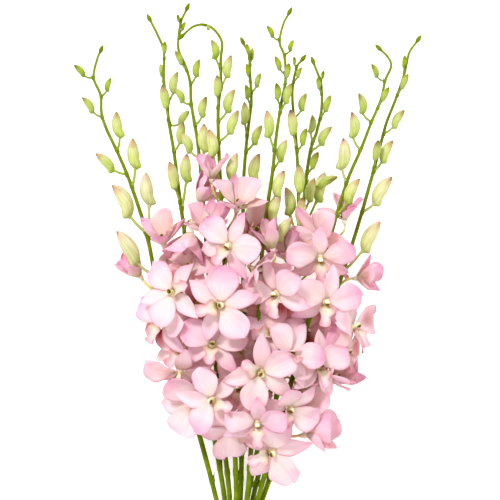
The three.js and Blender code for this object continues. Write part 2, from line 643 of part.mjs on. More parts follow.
function near(a, b) {
  const [p, q] = [a.boundingBox(), b.boundingBox()];
  return [0, 1, 2].every((k) => p.min[k] < q.max[k] && q.min[k] < p.max[k]);
}

// Stems first: their lines, then their buds.
const sprays = {};
for (const [name, { route }] of Object.entries(SPRAYS)) {
  sprays[name] = { name, line: smooth(route), route, buds: [], stalks: [] };
}
for (const [name, { buds }] of Object.entries(SPRAYS)) {
  buds.forEach((bud, i) => sprays[name].buds.push(budOf(sprays[name], bud, i)));
}
const frames = BLOOMS.map(stand);

// The smallest clearance of a stalk's points from the stems, buds, stalks and bloom hearts round it.
function room(points, own, self) {
  let least = Infinity;
  for (const other of Object.values(sprays)) {
    points.forEach((p, k) => {
      const share = other === own ? clamp((k + 1) / 4, 0, 1) : 1;
      for (const q of other.line.points) {
        least = Math.min(least, p.distanceTo(q) - (STEM_R + STALK_R + (other === own ? 0.5 : 0)) * share);
      }
      for (const bud of other.buds) {
        for (const u of [0.1, 0.3, 0.5, 0.7, 0.9]) {
          const q = bud.base.clone().lerp(bud.tip, u);
          least = Math.min(least, p.distanceTo(q) - bud.radius - STALK_R);
        }
      }
      for (const stalk of other.stalks) {
        if (other === own && stalk.points[0].distanceTo(points[0]) < 6) continue;
        for (const q of stalk.points) least = Math.min(least, p.distanceTo(q) - 2 * STALK_R - 0.5);
      }
    });
  }
  frames.forEach((frame, i) => {
    if (i === self) return;
    for (const p of points) {
      for (const n of [-6, -2, 2]) {
        const q = frame.centre.clone().addScaledVector(frame.facing, n);
        least = Math.min(least, p.distanceTo(q) - 3.6 - STALK_R);
      }
    }
  });
  return least;
}

// The stalk of a bloom: out of the stem, round the others, up to the bloom's chin.
BLOOMS.forEach((bloom, i) => {
  const own = sprays[bloom[0]];
  const { centre, facing, size } = frames[i];
  const end = centre.clone().addScaledVector(facing, -CHIN * size - GAP);
  let best = null;
  for (const back of [22, 14, 30, 6, 38, 46, 54]) {
    const aim = end.clone().add(V(0, -back, 0));
    let k = 0;
    own.line.points.forEach((p, m) => {
      if (p.distanceTo(aim) < own.line.points[k].distanceTo(aim)) k = m;
    });
    const at = own.line.points[k];
    const along = own.line.points[Math.min(k + 1, own.line.points.length - 1)].clone().sub(at).normalize();
    for (const reach of [10, 5, 16, 22]) {
      for (const lean of [0, 1, -1, 2, -2]) {
        const gap = end.distanceTo(at);
        const sway = V().crossVectors(along, end.clone().sub(at)).normalize();
        const first = at.clone().addScaledVector(along, gap * 0.25);
        first.addScaledVector(end.clone().sub(at), 0.2).addScaledVector(sway, lean * 7);
        const second = end.clone().addScaledVector(facing, -reach);
        const curve = new THREE.CubicBezierCurve3(at, first, second, end);
        const points = curve.getPoints(12);
        const clear = room(points.slice(2), own, i);
        const detour = Math.abs(gap - 27) * 0.12 + Math.abs(lean) * 0.8 + Math.abs(reach - 10) * 0.05;
        const worth = Math.min(clear - 0.6, 0) * 12 - detour;
        if (!best || worth > best.worth) best = { worth, points, curve, gap, facing };
      }
    }
  }
  own.stalks.push(best);
});

// A spray's stem: its knots and radii, to the point of the bud that ends it.
function stemShape({ line, route }) {
  const knots = route.map((p) => V(...p));
  let from = 0;
  const radii = knots.map((p) => {
    let k = from;
    while (k < line.points.length - 1 && line.points[k].distanceTo(p) > 0.01) k++;
    from = k;
    return stemRadius(line.reach[k], line.length);
  });
  const tip = station(line, 0);
  for (const [reach, radius] of [[0.4 * TIP_BUD, 1.6], [TIP_BUD, 0]]) {
    knots.push(tip.at.clone().addScaledVector(tip.along, reach));
    radii.push(radius);
  }
  return { knots, radii };
}

function sprouts({ buds, stalks }) {
  return [...buds.map(budShape), ...stalks.map(stalkShape)];
}

// The room that a spray needs, with the gap round it.
function sprayRoom(spray, gap) {
  const wide = (r) => (r + gap) / Math.cos(Math.PI / 8);
  const { knots, radii } = stemShape(spray);
  const parts = [tube(knots, radii.map((r) => wide(r)), 8)];
  for (const sprout of sprouts(spray)) {
    const reach = sprout.points.map((p) => p.clone());
    if (!sprout.end) {
      const [before, last] = reach.slice(-2);
      last.addScaledVector(last.clone().sub(before).normalize(), gap);
    }
    parts.push(tube(reach, sprout.radii.map((r, i) => wide(i ? r : 1.9)), 8, sprout.end));
  }
  return wasm.Manifold.union(parts);
}

const made = [];
for (const spray of Object.values(sprays)) {
  const { knots, radii } = stemShape(spray);
  let body = plantSolid(knots, radii, sprouts(spray));
  for (const other of made) {
    if (near(body, other.thin) && body.intersect(other.thin).volume() > 1e-5) {
      body = largest(body.subtract(other.fat)).simplify(0.01);
    }
  }
  const [fat, thin] = [sprayRoom(spray, GAP), sprayRoom(spray, TOUCH)];
  made.push({ name: "spray_" + spray.name, body, fat, thin, slot: "stem" });
}

// Blooms, the foremost first. Each sepal, petal and lip gives way to what stands already.
BLOOMS.forEach((bloom, i) => {
  const frame = frames[i];
  const around = made.filter((m) => {
    const box = m.fat.boundingBox();
    return [frame.centre.x, frame.centre.y, frame.centre.z].every(
      (c, k) => c + 36 > box.min[k] && c - 36 < box.max[k],
    );
  });
  const crossing = (shape) =>
    around.reduce((sum, m) => sum + (near(shape, m.fat) ? shape.intersect(m.fat).volume() : 0), 0);
  const list = tepals(bloom);
  const own = [];
  const gives = list.map((t, k) => {
    let best = null;
    for (const give of GIVES) {
      const shape = bladeSolid(frame, k, t, give, 0);
      const inside = own.reduce((sum, other) => sum + shape.intersect(other).volume(), 0);
      const cost = crossing(shape) + 20 * inside;
      if (!best || cost < best.cost - 0.02) best = { give, shape, cost };
      if (cost < 1e-6) break;
    }
    own.push(best.shape);
    return best.give;
  });
  let body = bloomSolid(frame, list, gives, 0);
  for (const m of around) {
    if (near(body, m.thin) && body.intersect(m.thin).volume() > 1e-5) {
      body = body.subtract(m.fat);
    }
  }
  body = largest(body).simplify(0.02);
  const name = "bloom_" + String(i + 1).padStart(2, "0");
  const room = (gap) =>
    wasm.Manifold.union([
      bloomSolid(frame, null, null, gap),
      ...list.map((t, k) => bladeSolid(frame, k, t, gives[k], gap)),
    ]);
  made.push({ name, body, fat: room(GAP), thin: room(TOUCH), slot: "petal" });
});

const looks = {
  stem: new THREE.MeshStandardMaterial({ color: 0x7fa63c, roughness: 0.6 }),
  petal: new THREE.MeshStandardMaterial({ color: 0xf3c9d8, roughness: 0.6 }),
  band: new THREE.MeshStandardMaterial({ color: 0xc9a26a, roughness: 0.7 }),
};

function meshOf({ name, body, slot }) {
  const data = body.getMesh();
  const geometry = new THREE.BufferGeometry();
  geometry.setAttribute("position", new THREE.BufferAttribute(new Float32Array(data.vertProperties), 3));
  geometry.setIndex(new THREE.BufferAttribute(new Uint32Array(data.triVerts), 1));
  const mesh = new THREE.Mesh(geometry, looks[slot].clone());
  mesh.name = name;
  return mesh;
}

// The band: a rounded ring round the ten stems, flat underneath.
function band() {
  const half = [7 + STEM_R + 0.5, 4 + STEM_R + 0.2];
  const middle = [-11, half[1] + BAND_THICKNESS];
  const corner = 4.5;
  const ringOf = (extra) => {
    const points = [];
    for (let q = 0; q < 4; q++) {
      const sx = q === 0 || q === 3 ? 1 : -1;
      const sz = q < 2 ? 1 : -1;
      for (let k = 0; k <= 2; k++) {
        const t = (q + k / 2) * (Math.PI / 2);
        points.push([
          middle[0] + sx * (half[0] - corner) + (corner + extra) * Math.cos(t),
          middle[1] + sz * (half[1] - corner) + (corner + extra) * Math.sin(t),
        ]);
      }
    }
    return points;
  };
  const inner = ringOf(0);
  const outer = ringOf(BAND_THICKNESS);
  const n = inner.length;
  const points = [];
  for (const y of [BAND_Y - BAND_WIDTH / 2, BAND_Y + BAND_WIDTH / 2]) {
    for (const ring of [inner, outer]) points.push(...ring.map(([x, z]) => V(x, y, z)));
  }
  const faces = [];
  for (let k = 0; k < n; k++) {
    const m = (k + 1) % n;
    const quads = [
      [k, m, n + m, n + k],
      [2 * n + k, 3 * n + k, 3 * n + m, 2 * n + m],
      [n + k, n + m, 3 * n + m, 3 * n + k],
      [k, 2 * n + k, 2 * n + m, m],
    ];
    for (const [a, b, c, d] of quads) faces.push([a, b, c], [a, c, d]);
  }
  return solid(points, faces);
}
made.push({ name: "band", body: band(), slot: "band" });

const bunch = new THREE.Group();
bunch.name = "dendrobium_bunch";
for (const piece of made) bunch.add(meshOf(piece));
export default bunch;
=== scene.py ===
"""A cut bunch of ten dendrobium orchid sprays lying on a table: the finished stems, buds, blooms and band.

Lengths in the tables are millimetres. +X is across the bunch, +Y runs from the cut ends to the tips and
+Z is up. Every surface is a profile carried along a line, or a blade with a front and a back.
"""
import math

import bpy
import numpy as np
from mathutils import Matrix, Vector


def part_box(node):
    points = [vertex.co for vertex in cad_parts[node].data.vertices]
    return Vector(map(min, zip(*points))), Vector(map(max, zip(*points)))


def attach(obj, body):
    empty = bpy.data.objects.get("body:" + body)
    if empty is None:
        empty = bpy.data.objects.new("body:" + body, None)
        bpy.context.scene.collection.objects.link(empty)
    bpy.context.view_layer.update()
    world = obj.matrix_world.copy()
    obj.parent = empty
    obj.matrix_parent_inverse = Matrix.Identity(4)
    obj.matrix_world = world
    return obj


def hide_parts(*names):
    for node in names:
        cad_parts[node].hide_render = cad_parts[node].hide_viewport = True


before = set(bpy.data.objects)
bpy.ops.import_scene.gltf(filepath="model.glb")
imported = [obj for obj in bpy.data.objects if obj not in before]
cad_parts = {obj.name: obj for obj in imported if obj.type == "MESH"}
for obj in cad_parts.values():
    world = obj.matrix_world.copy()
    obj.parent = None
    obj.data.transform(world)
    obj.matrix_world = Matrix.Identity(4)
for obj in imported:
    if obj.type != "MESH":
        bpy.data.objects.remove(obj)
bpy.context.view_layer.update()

MM = 0.001
STEM_R, TIP_R = 2.25, 0.85  # a stem's radius up to its blooms, and at its tip
STALK_R, BUD_STALK_R = 1.05, 0.75
BUD_FATNESS, BUD_SHARE, BUD_REACH = 0.235, 0.62, 36  # radius by length, length by reach, the reach at most
TIP_BUD = 8.0
BLADE = 0.8  # how thick the solids' blades are
CHIN, HEART_R = 7.0, 3.0  # the chin's reach behind a bloom's centre, and the ring that its blades leave
LEVEL, GAP = 1.5, 0.32  # between a bloom's sepals and its petals, and between its chin and its stalk
HALF_OPEN = 30  # the closing from which a bloom counts as half open
SEPAL = {"length": 30.0, "width": 14.5}
PETAL = {"length": 29.0, "width": 25.0}
LIP = {"length": 19.0, "width": 14.0}

SPAN = 24  # steps along a stem between two points of its route
STEM_SIDES, STALK_SIDES, HEART_SIDES = 12, 10, 14
ROOT_RINGS, BUD_RINGS, BUD_SIDES = 8, 23, 18
TEPAL_GRID = {"petal": (20, 13), "sepal": (19, 9), "lip": (26, 19)}
RIPPLE = {"petal": (1.5, 1.7), "sepal": (0.9, 1.3), "lip": (0.8, 3.2)}  # height, and waves along an edge
FLOWERING, NODE_EVERY = 170.0, 46.0  # where the blooms begin on a stem, and the bare joints' spacing
JOINT_SWELL, JOINT_HALF = 0.16, 1.8  # how much a joint swells the stem, and along how much of it
# How the bunch roofs a place, which sets the painted shade there
ROOF_WIDTH, ROOF_LOW, ROOF_HIGH = 17.0, 3, 24  # how far aside and how much higher a bloom roofs a place
ROOF_GAIN, SIDE_LIGHT = 2.2, 0.25  # how soon a place is all roofed, and how much of that stays at the table
DIM_FROM, DIM_TO = 14, 62  # heights between which side light fades
WIDER, WIDER_FROM, WIDER_TO = 0.38, 32, 50  # a roofed bloom's wider blades, and the heights they set in at
HALF_OPEN_WIDER = 1.4  # a half-open bloom's petals against its solid's

# How a finished blade strays from its solid's surface, each drawn between two values: the cup as a share of
# the half width, the twist in degrees, the edge as a share of the way to it, the rest in millimetres.
STRAY = {"cup": (-0.12, 0.3), "twist": (-12, 12), "edge": (-0.1, 0.08), "sway": (-1.2, 1.2),
         "apex": (0.2, 1.5), "curl": (-2.6, 3.2), "fold": (0.4, 1.0), "tip": (-2.2, 2.2)}
PLAIN_FOLD, GROOVE, KEEL = 0.3, 0.45, 0.55  # a fold that isn't a petal's, a midrib's groove, a lip's keel
CUT_Y, UNDER_BAND = -261.2, (-218.2, -204.2)
BAND_STEPS, BAND_SIDES, BAND_CORNER, BAND_INSET, BAND_APART = 96, 16, 5.3, 0.75, 1.76
BAND_HALF_WIDTH, BAND_HALF_THICK = 1.68, 0.68
PICTURE_WIDTH, PICTURE_LEVEL, PICTURE_X, PICTURE_Y = 425.0, 60.0, 0.85, 56.5
LENS, FILM = 500, 36
SPRAY_SEED, BLOOM_SEED = 400, 700

# Each spray: x and z of its cut end, then under the band; the way its stem runs from there; and its buds, as
# the distance from the stem's tip, x and y of the bud's own tip, and its length where it is an odd one.
SPRAYS = {
    "a": (
        (-21.4, 6.3, -17.9, 7.8),
        [(-30, -149, 18), (-50, -74, 34), (-76, 17, 42), (-87, 69, 40), (-100, 110, 36), (-111, 137, 32),
         (-121, 158, 28), (-126, 173, 25), (-127, 189, 22), (-133, 204, 19), (-130, 220, 16),
         (-128, 225, 15)],
        [(22, -150, 215), (40, -118, 204), (58, -143, 187), (90, -113, 175), (112, -131, 139),
         (124, -99, 152, 24), (165, -117, 112, 29), (170, -88, 123, 26), (202, -113, 73, 31)],
    ),
    "b": (
        (-17.9, 2.2, -15.6, 3.9),
        [(-22, -149, 12), (-36, -67, 24), (-53, 56, 32), (-59, 100, 30), (-64, 139, 26), (-69, 169, 22),
         (-70, 187, 20), (-73, 201, 18), (-73, 226, 15), (-78, 240, 13), (-84, 252, 11)],
        [(34, -72, 235), (54, -76, 216), (87, -74, 198), (73, -61, 209), (92, -51, 176), (115, -56, 166),
         (159, -68, 132), (165, -53, 139)],
    ),
    "c": (
        (-14.5, 6.3, -13.3, 7.8),
        [(-17, -149, 20), (-26, -67, 46), (-36, 56, 58), (-40, 113, 58), (-44, 150, 56), (-49, 180, 53),
         (-50, 198, 51), (-54, 213, 49), (-60, 227, 47), (-60, 238, 46), (-58, 251, 45), (-54, 260, 44)],
        [(10, -61, 257), (19, -54, 251), (53, -63, 226), (66, -42, 219), (83, -64, 194), (101, -36, 187),
         (141, -38, 164), (129, -58, 156)],
    ),
    "d": (
        (-17.9, 10.4, -15.6, 11.8),
        [(-11, -149, 30), (-15, -67, 66), (-21, 48, 80), (-24, 108, 78), (-26, 154, 74), (-26, 179, 72),
         (-24, 195, 70), (-24, 218, 68), (-23, 233, 66), (-30, 244, 65), (-39, 248, 64), (-48, 246, 63),
         (-55, 240, 62)],
        [(19, -34, 243), (64, -32, 235), (81, -15, 222), (97, -27, 205), (110, -12, 193), (127, -9, 175),
         (162, -34, 159), (174, -10, 139)],
    ),
    "e": (
        (-11, 2.2, -11, 3.9),
        [(-7, -149, 12), (-6, -67, 24), (-5, 31, 32), (-5, 103, 30), (-3, 139, 27), (0, 166, 24),
         (2, 184, 21), (1, 205, 18), (0, 223, 16), (-4, 232, 15)],
        [(12, -2, 233), (17, 3, 230), (32, -2, 216), (42, 10, 208), (53, -3, 198), (79, -4, 183),
         (93, 11, 163), (133, 9, 139), (168, 5, 99), (190, 8, 79)],
    ),
    "f": (
        (-11, 10.4, -11, 11.8),
        [(-1, -149, 30), (4, -67, 68), (11, 53, 82), (16, 95, 80), (20, 123, 78), (23, 152, 75),
         (27, 179, 72), (31, 201, 69), (30, 221, 67), (26, 233, 65), (29, 248, 63), (33, 256, 62)],
        [(23, 15, 247), (36, 38, 235), (53, 22, 221), (61, 34, 215), (86, 36, 198), (80, 23, 198),
         (118, 15, 175), (135, 32, 150), (167, 30, 124), (189, 27, 102), (202, 37, 84)],
    ),
    "g": (
        (-7.6, 6.3, -8.8, 7.8),
        [(0, -149, 20), (13, -88, 42), (30, -12, 56), (41, 48, 60), (42, 107, 58), (40, 150, 55),
         (37, 184, 52), (38, 201, 50), (41, 213, 49), (44, 217, 48)],
        [(6, 38, 221), (19, 45, 212), (50, 49, 190), (78, 49, 160), (75, 35, 176), (153, 31, 110),
         (134, 43, 129), (159, 45, 101)],
    ),
    "h": (
        (-4.1, 2.2, -6.4, 3.9),
        [(5, -149, 12), (16, -105, 18), (33, -20, 30), (44, 48, 34), (47, 100, 31), (52, 139, 27),
         (58, 158, 24), (62, 177, 21), (62, 197, 18), (59, 207, 16), (56, 215, 15)],
        [(13, 64, 210), (26, 58, 204), (48, 70, 189), (69, 54, 172), (77, 71, 162), (96, 59, 140),
         (104, 76, 119), (130, 56, 118), (142, 65, 123, 24)],
    ),
    "i": (
        (-4.1, 10.4, -6.4, 11.8),
        [(10, -148, 28), (23, -101, 50), (40, -41, 68), (59, 27, 74), (71, 74, 72), (83, 114, 68),
         (95, 142, 64), (104, 165, 60), (112, 184, 57), (116, 201, 55), (121, 213, 54), (118, 221, 53),
         (113, 226, 52)],
        [(30, 104, 215), (53, 119, 195), (67, 93, 190), (93, 87, 174), (123, 80, 152, 25), (152, 94, 117)],
    ),
    "j": (
        (-0.7, 6.3, -4.1, 7.8),
        [(15, -147, 18), (32, -98, 32), (50, -49, 42), (72, 14, 47), (90, 68, 45), (104, 116, 40),
         (114, 153, 35), (118, 167, 32), (126, 187, 28), (133, 208, 25), (137, 225, 22), (143, 234, 20)],
        [(28, 133, 223), (49, 136, 207), (85, 133, 176), (114, 110, 150), (119, 123, 150),
         (155, 122, 119, 26), (208, 112, 81, 27)],
    ),
}

# Each bloom: its spray, centre, lean and the side it leans toward, the side of its upper sepal, size and
# closing. The sides are degrees from +X toward +Y; the closing is the angle that its sepals rise by.
BLOOMS = [
    ("d", -24, 10, 104, 8, 200, 15, 1.08, 14),
    ("c", -31, -70, 90, 20, 240, 175, 1, 14),
    ("f", 10, -47, 100, 15, 270, -40, 1.05, 14),
    ("i", 65, 13, 88, 25, 300, 82, 1, 14),
    ("g", 35, -32, 96, 25, 30, 60, 0.95, 16),
    ("i", 60, 50, 88, 35, 280, 92, 1, 14),
    ("h", 59, 69, 72, 40, 200, 120, 0.95, 18),
    ("d", -17, 60, 104, 25, 200, 60, 0.98, 14),
    ("g", 23, 20, 102, 35, 215, 100, 1, 14),
    ("a", -73, -5, 70, 50, 190, 60, 1, 14),
    ("a", -59, -47, 66, 60, 262, 80, 1.05, 12),
    ("j", 88, -9, 66, 60, 10, 80, 1, 14),
    ("i", 19, -114, 66, 30, 270, 10, 1.08, 14),
    ("j", 50, -100, 52, 80, 12, 90, 1.05, 36),
    ("b", -65, 20, 87, 30, 150, 185, 1, 16),
    ("b", -50, 70, 72, 75, 260, 80, 0.95, 34),
    ("c", -32, 72, 84, 60, 95, 90, 0.95, 36),
    ("d", -10, 93, 92, 60, 80, 90, 0.95, 34),
    ("e", 3, 73, 74, 45, 20, 30, 0.92, 16),
    ("b", -73, 63, 56, 65, 100, 120, 0.95, 42),
    ("f", 6, 40, 96, 50, -30, 90, 0.95, 30),
    ("j", 81, -28, 62, 65, -20, 80, 0.95, 14),
    ("j", 72, -54, 54, 65, 42, 120, 0.95, 36),
    ("h", 34, -77, 80, 40, -60, 40, 0.95, 16),
    ("e", -13, -95, 68, 50, 265, 200, 1.06, 14),
    ("a", -47, -73, 58, 30, 215, 190, 1, 14),
    ("c", -31, -24, 84, 12, 90, 80, 0.98, 14),
    ("b", -55, -29, 64, 35, 160, 60, 0.95, 16),
    ("b", -47, 9, 60, 40, 330, 120, 0.92, 24),
    ("f", 20, -15, 80, 30, 100, 30, 0.95, 16),
    ("g", 32, 50, 72, 55, 100, 90, 0.85, 45),
    ("h", 44, -62, 60, 50, -50, 60, 0.92, 32),
    ("i", 59, -42, 80, 30, 0, 90, 0.95, 16),
    ("e", -6, -28, 66, 10, 90, 40, 0.95, 16),
    ("h", 48, -12, 60, 25, 330, 60, 0.92, 18),
    ("f", 7, -90, 86, 35, 270, 90, 0.95, 16),
    ("j", 93, 33, 44, 70, 8, 90, 0.78, 40),
    ("a", -94, 35, 36, 75, 128, 150, 0.78, 58),
    ("d", -32, 118, 80, 75, 95, 90, 0.8, 66),
    ("c", -42, 99, 70, 70, 60, 90, 0.85, 58),
    ("f", 20, 59, 97, 75, 105, 90, 0.85, 62),
    ("i", 81, 83, 66, 75, 95, 90, 0.78, 66),
    ("b", -68, 35, 29, 100, 170, 90, 0.95, 16),
    ("e", -6, 5, 58, 30, 320, 60, 0.92, 16),
    ("e", -29, -58, 30, 105, 230, 90, 0.95, 16),
    ("h", 48, -46, 30, 105, -10, 100, 0.95, 16),
    ("h", 69, 44, 28, 100, 20, 120, 0.9, 18),
    ("d", -9, -59, 72, 25, 250, 110, 0.95, 16),
    ("b", -50, 41, 66, 35, 120, 60, 0.9, 24),
]

# The bends and swings that a solid's blade may have been given to keep it clear of the others, least first.
GIVES = sorted(
    [(bend, swing) for bend in (0, 14, -14, 28, -28, 42, -42) for swing in (0, 9, -9, 18, -18)],
    key=lambda g: abs(g[0]) / 14 + abs(g[1]) / 8,
)


def unit(v):
    """A vector, or an array of vectors, divided by its length."""
    v = np.asarray(v, float)
    return v / np.maximum(np.linalg.norm(v, axis=-1, keepdims=True), 1e-12)


def square_to(along):
    """Two directions square to a stem and to each other."""
    first = unit(np.cross(along, [0.0, 0.1, 1.0]))
    return first, np.cross(along, first)


def smoothstep(low, high, x):
    """0 below low, 1 above high, and 3t^2 - 2t^3 between."""
    t = np.clip((x - low) / (high - low), 0, 1)
    return t * t * (3 - 2 * t)


def portion(low, high, x):
    """How far x has come from low to high, held between 0 and 1."""
    return min(max((x - low) / (high - low), 0), 1)


def smooth_line(route):
    """A uniform Catmull-Rom line through the route's points: cubics whose slope at each point is half the
    step from the point before to the point after, with the length run so far."""
    p = np.array(route, float)
    p = np.vstack([2 * p[0] - p[1], p, 2 * p[-1] - p[-2]])
    a, b, c, d = p[:-3, None], p[1:-2, None], p[2:-1, None], p[3:, None]
    t = (np.arange(SPAN) / SPAN)[None, :, None]
    m, n = 0.5 * (c - a), 0.5 * (d - b)
    q = (2 * b - 2 * c + m + n) * t**3 + (-3 * b + 3 * c - 2 * m - n) * t**2 + m * t + b
    points = np.vstack([q.reshape(-1, 3), p[-2]])
    reach = np.concatenate([[0], np.cumsum(np.linalg.norm(np.diff(points, axis=0), axis=1))])
    return {"points": points, "reach": reach, "length": reach[-1]}


def station(line, from_tip):
    """The point and the direction of a line at a distance from its tip."""
    s = np.clip(line["length"] - from_tip, 0, line["length"])
    i = max(int(np.searchsorted(line["reach"], s)), 1)
    t = (s - line["reach"][i - 1]) / (line["reach"][i] - line["reach"][i - 1])
    p, q = line["points"][i - 1], line["points"][i]
    return p + (q - p) * t, unit(q - p)


def stem_radius(from_base, length):
    """Even up to the blooms, then falling with the power 1.1 of the way to the tip."""
    t = np.clip((from_base - FLOWERING) / (length - FLOWERING), 0, 1)
    return STEM_R + (TIP_R - STEM_R) * t**1.1


def bezier(knots, t):
    """A Bezier line of three or four knots: each knot weighed by its Bernstein polynomial of t."""
    n = len(knots) - 1
    t = np.asarray(t, float)[:, None]
    return sum(
        math.comb(n, k) * t**k * (1 - t) ** (n - k) * np.asarray(q, float) for k, q in enumerate(knots)
    )


class Form:
    """Points and faces of one piece, gathered part by part, with a map along and across each part."""

    def __init__(self):
        self.points, self.maps, self.tones, self.ages, self.faces, self.looks = [], [], [], [], [], []
        self.count = 0

    def add(self, points, maps, faces, look, tone=0.5, age=0.5):
        """One more part: look indexes its material; tone, with painted shade, and age steer the colours."""
        n = len(points)
        self.points.append(points)
        self.maps.append(maps)
        self.tones.append(np.broadcast_to(np.asarray(tone, float), n))
        self.ages.append(np.broadcast_to(np.asarray(age, float), n))
        for block in faces:
            self.faces.append(np.asarray(block) + self.count)
            self.looks.append(np.full(len(block), look))
        self.count += n

    def piece(self, name, looks):
        """The gathered parts as one object in metres, at the origin."""
        mesh = bpy.data.meshes.new(name)
        loops = np.concatenate([block.ravel() for block in self.faces])
        sizes = np.concatenate([np.full(len(block), block.shape[1]) for block in self.faces])
        mesh.vertices.add(self.count)
        mesh.vertices.foreach_set("co", (np.vstack(self.points) * MM).astype(np.float32).ravel())
        mesh.loops.add(len(loops))
        mesh.loops.foreach_set("vertex_index", loops.astype(np.int32))
        mesh.polygons.add(len(sizes))
        mesh.polygons.foreach_set("loop_start", (np.cumsum(sizes) - sizes).astype(np.int32))
        mesh.polygons.foreach_set("material_index", np.concatenate(self.looks).astype(np.int32))
        mesh.polygons.foreach_set("use_smooth", np.ones(len(sizes), bool))
        mesh.update(calc_edges=True)
        layer = mesh.uv_layers.new(name="along_across")
        layer.data.foreach_set("uv", np.vstack(self.maps)[loops].astype(np.float32).ravel())
        for title, values in (("tone", self.tones), ("age", self.ages)):
            data = mesh.attributes.new(title, "FLOAT", "POINT").data
            data.foreach_set("value", np.concatenate(values).astype(np.float32))
        for look in looks:
            mesh.materials.append(look)
        piece = bpy.data.objects.new(name, mesh)
        bpy.context.scene.collection.objects.link(piece)
        return piece


def ring_faces(n, sides):
    """Quads between n rings of points, closed round, and the two end faces."""
    k = np.arange(n * sides).reshape(n, sides)
    near = np.roll(k, -1, axis=1)
    quads = np.stack([k[:-1], near[:-1], near[1:], k[1:]], -1).reshape(-1, 4)
    return [quads, k[:1, ::-1], k[-1:]]


def carried(line, radii, sides, push=None):
    """A round section carried along a line: the centre plus radius times (side cos + up sin). Its own
    direction is kept by one fixed vector square to the line's bend. push adds to the radius by angle."""
    line = np.asarray(line, float)
    along = unit(np.gradient(line, axis=0))
    bend = np.cross(along[0], along[-1])
    if np.linalg.norm(bend) < 0.15:
        bend = np.cross(along[0], [0.3, 0.1, 1.0] if abs(along[0][2]) < 0.9 else [1.0, 0, 0])
    bend = unit(bend)
    up = unit(bend - along * (along @ bend)[:, None])
    side = np.cross(along, up)
    angle = 2 * np.pi * np.arange(sides) / sides
    out = side[:, None] * np.cos(angle)[None, :, None] + up[:, None] * np.sin(angle)[None, :, None]
    size = np.asarray(radii, float)[:, None, None]
    points = line[:, None] + out * size
    if push is not None:
        points = points + push(out, size)
    u = np.linspace(0, 1, len(line))[:, None] * np.ones(sides)
    v = np.ones(len(line))[:, None] * (np.arange(sides) / sides)
    return points.reshape(-1, 3), np.stack([u, v], -1).reshape(-1, 2)


def crowd(points):
    """How much of the bunch stands over each point, which sets the painted shade there: each bloom's centre
    counts by a bell curve of its distance seen from above, as far as it is higher. It runs from 0 in the open
    to 1 deep in the bunch, and falls off toward the table, where light comes in from the sides."""
    spots = np.array([b[1:4] for b in BLOOMS], float)
    apart = points[..., None, :] - spots
    near = np.exp(-(apart[..., 0] ** 2 + apart[..., 1] ** 2) / ROOF_WIDTH**2)
    over = near * smoothstep(ROOF_LOW, ROOF_HIGH, -apart[..., 2])
    roofed = 1 - np.exp(-ROOF_GAIN * over.sum(axis=-1))
    return roofed * (SIDE_LIGHT + (1 - SIDE_LIGHT) * smoothstep(DIM_FROM, DIM_TO, points[..., 2]))


def add_carried(form, line, radii, sides, look, age=0.5):
    """A round section carried along a line, closed at both ends, with painted shade where the bunch stands
    over it.
    """
    points, maps = carried(line, radii, sides)
    form.add(points, maps, ring_faces(len(line), sides), look, crowd(points), age)


def add_blade(form, at, face, half, u, v, look, tone=0.3, age=0.5):
    """A thin blade: its middle surface moved to both sides along its facing by half its thickness, the front
    and the back joined round the edge and at both ends."""
    nu, nv = at.shape[:2]
    thick = face * half[..., None]
    skin = np.concatenate([at + thick, (at - thick)[:, ::-1]], axis=1)
    across = np.concatenate([v, v[:, ::-1]], axis=1) * 0.5 + 0.5
    along = np.concatenate([u, u[:, ::-1]], axis=1)
    k = np.arange(nu * 2 * nv).reshape(nu, 2 * nv)
    quads = ring_faces(nu, 2 * nv)[0]
    top, low = k[:, :nv], k[:, :nv - 1:-1]
    root = np.stack([top[0, :-1], low[0, :-1], low[0, 1:], top[0, 1:]], -1)
    tip = np.stack([top[-1, :-1], top[-1, 1:], low[-1, 1:], low[-1, :-1]], -1)
    maps = np.stack([along, across], -1).reshape(-1, 2)
    form.add(skin.reshape(-1, 3), maps, [quads, root, tip], look, tone, age)


def stand(bloom):
    """Centre, facing, upper side and side of a bloom, from its lean and the sides it turns to."""
    _, x, y, z, lean, toward, upper, size, _ = bloom
    lean, toward, upper = math.radians(lean), math.radians(toward), math.radians(upper)
    facing = np.array([math.sin(lean) * math.cos(toward), math.sin(lean) * math.sin(toward), math.cos(lean)])
    dorsal = np.array([math.cos(upper), math.sin(upper), 0.0])
    dorsal = unit(dorsal - facing * (dorsal @ facing))
    return {"centre": np.array([x, y, z], float), "facing": facing, "dorsal": dorsal,
            "side": np.cross(dorsal, facing), "size": size}


def outline(kind, u):
    """Half the width along a blade, as a share of its greatest: a lip by eased steps between its lobes, a
    sepal or petal by a rising quarter sine and a falling power curve."""
    if kind == "lip":
        at, width = np.array([0, 0.36, 0.58, 0.82, 1.0]), np.array([0.3, 1, 0.58, 0.74, 0])
        i = np.clip(np.searchsorted(at, u - 1e-9), 1, 4)
        t = np.clip((u - at[i - 1]) / (at[i] - at[i - 1]), 0, 1)
        ease = np.where(i == 4, 1 - np.sqrt(np.maximum(1 - t * t, 0)), t * t * (3 - 2 * t))
        return width[i - 1] + (width[i] - width[i - 1]) * ease
    root, fullest, power, blunt = (0.16, 0.56, 2.3, 0.6) if kind == "petal" else (0.42, 0.42, 1.8, 0.9)
    rise = root + (1 - root) * np.sin(np.pi / 2 * np.clip(u / fullest, 0, 1)) ** 1.15
    fall = np.maximum(1 - np.clip((u - fullest) / (1 - fullest), 0, 1) ** power, 0) ** blunt
    return np.where(u < fullest, rise, fall)


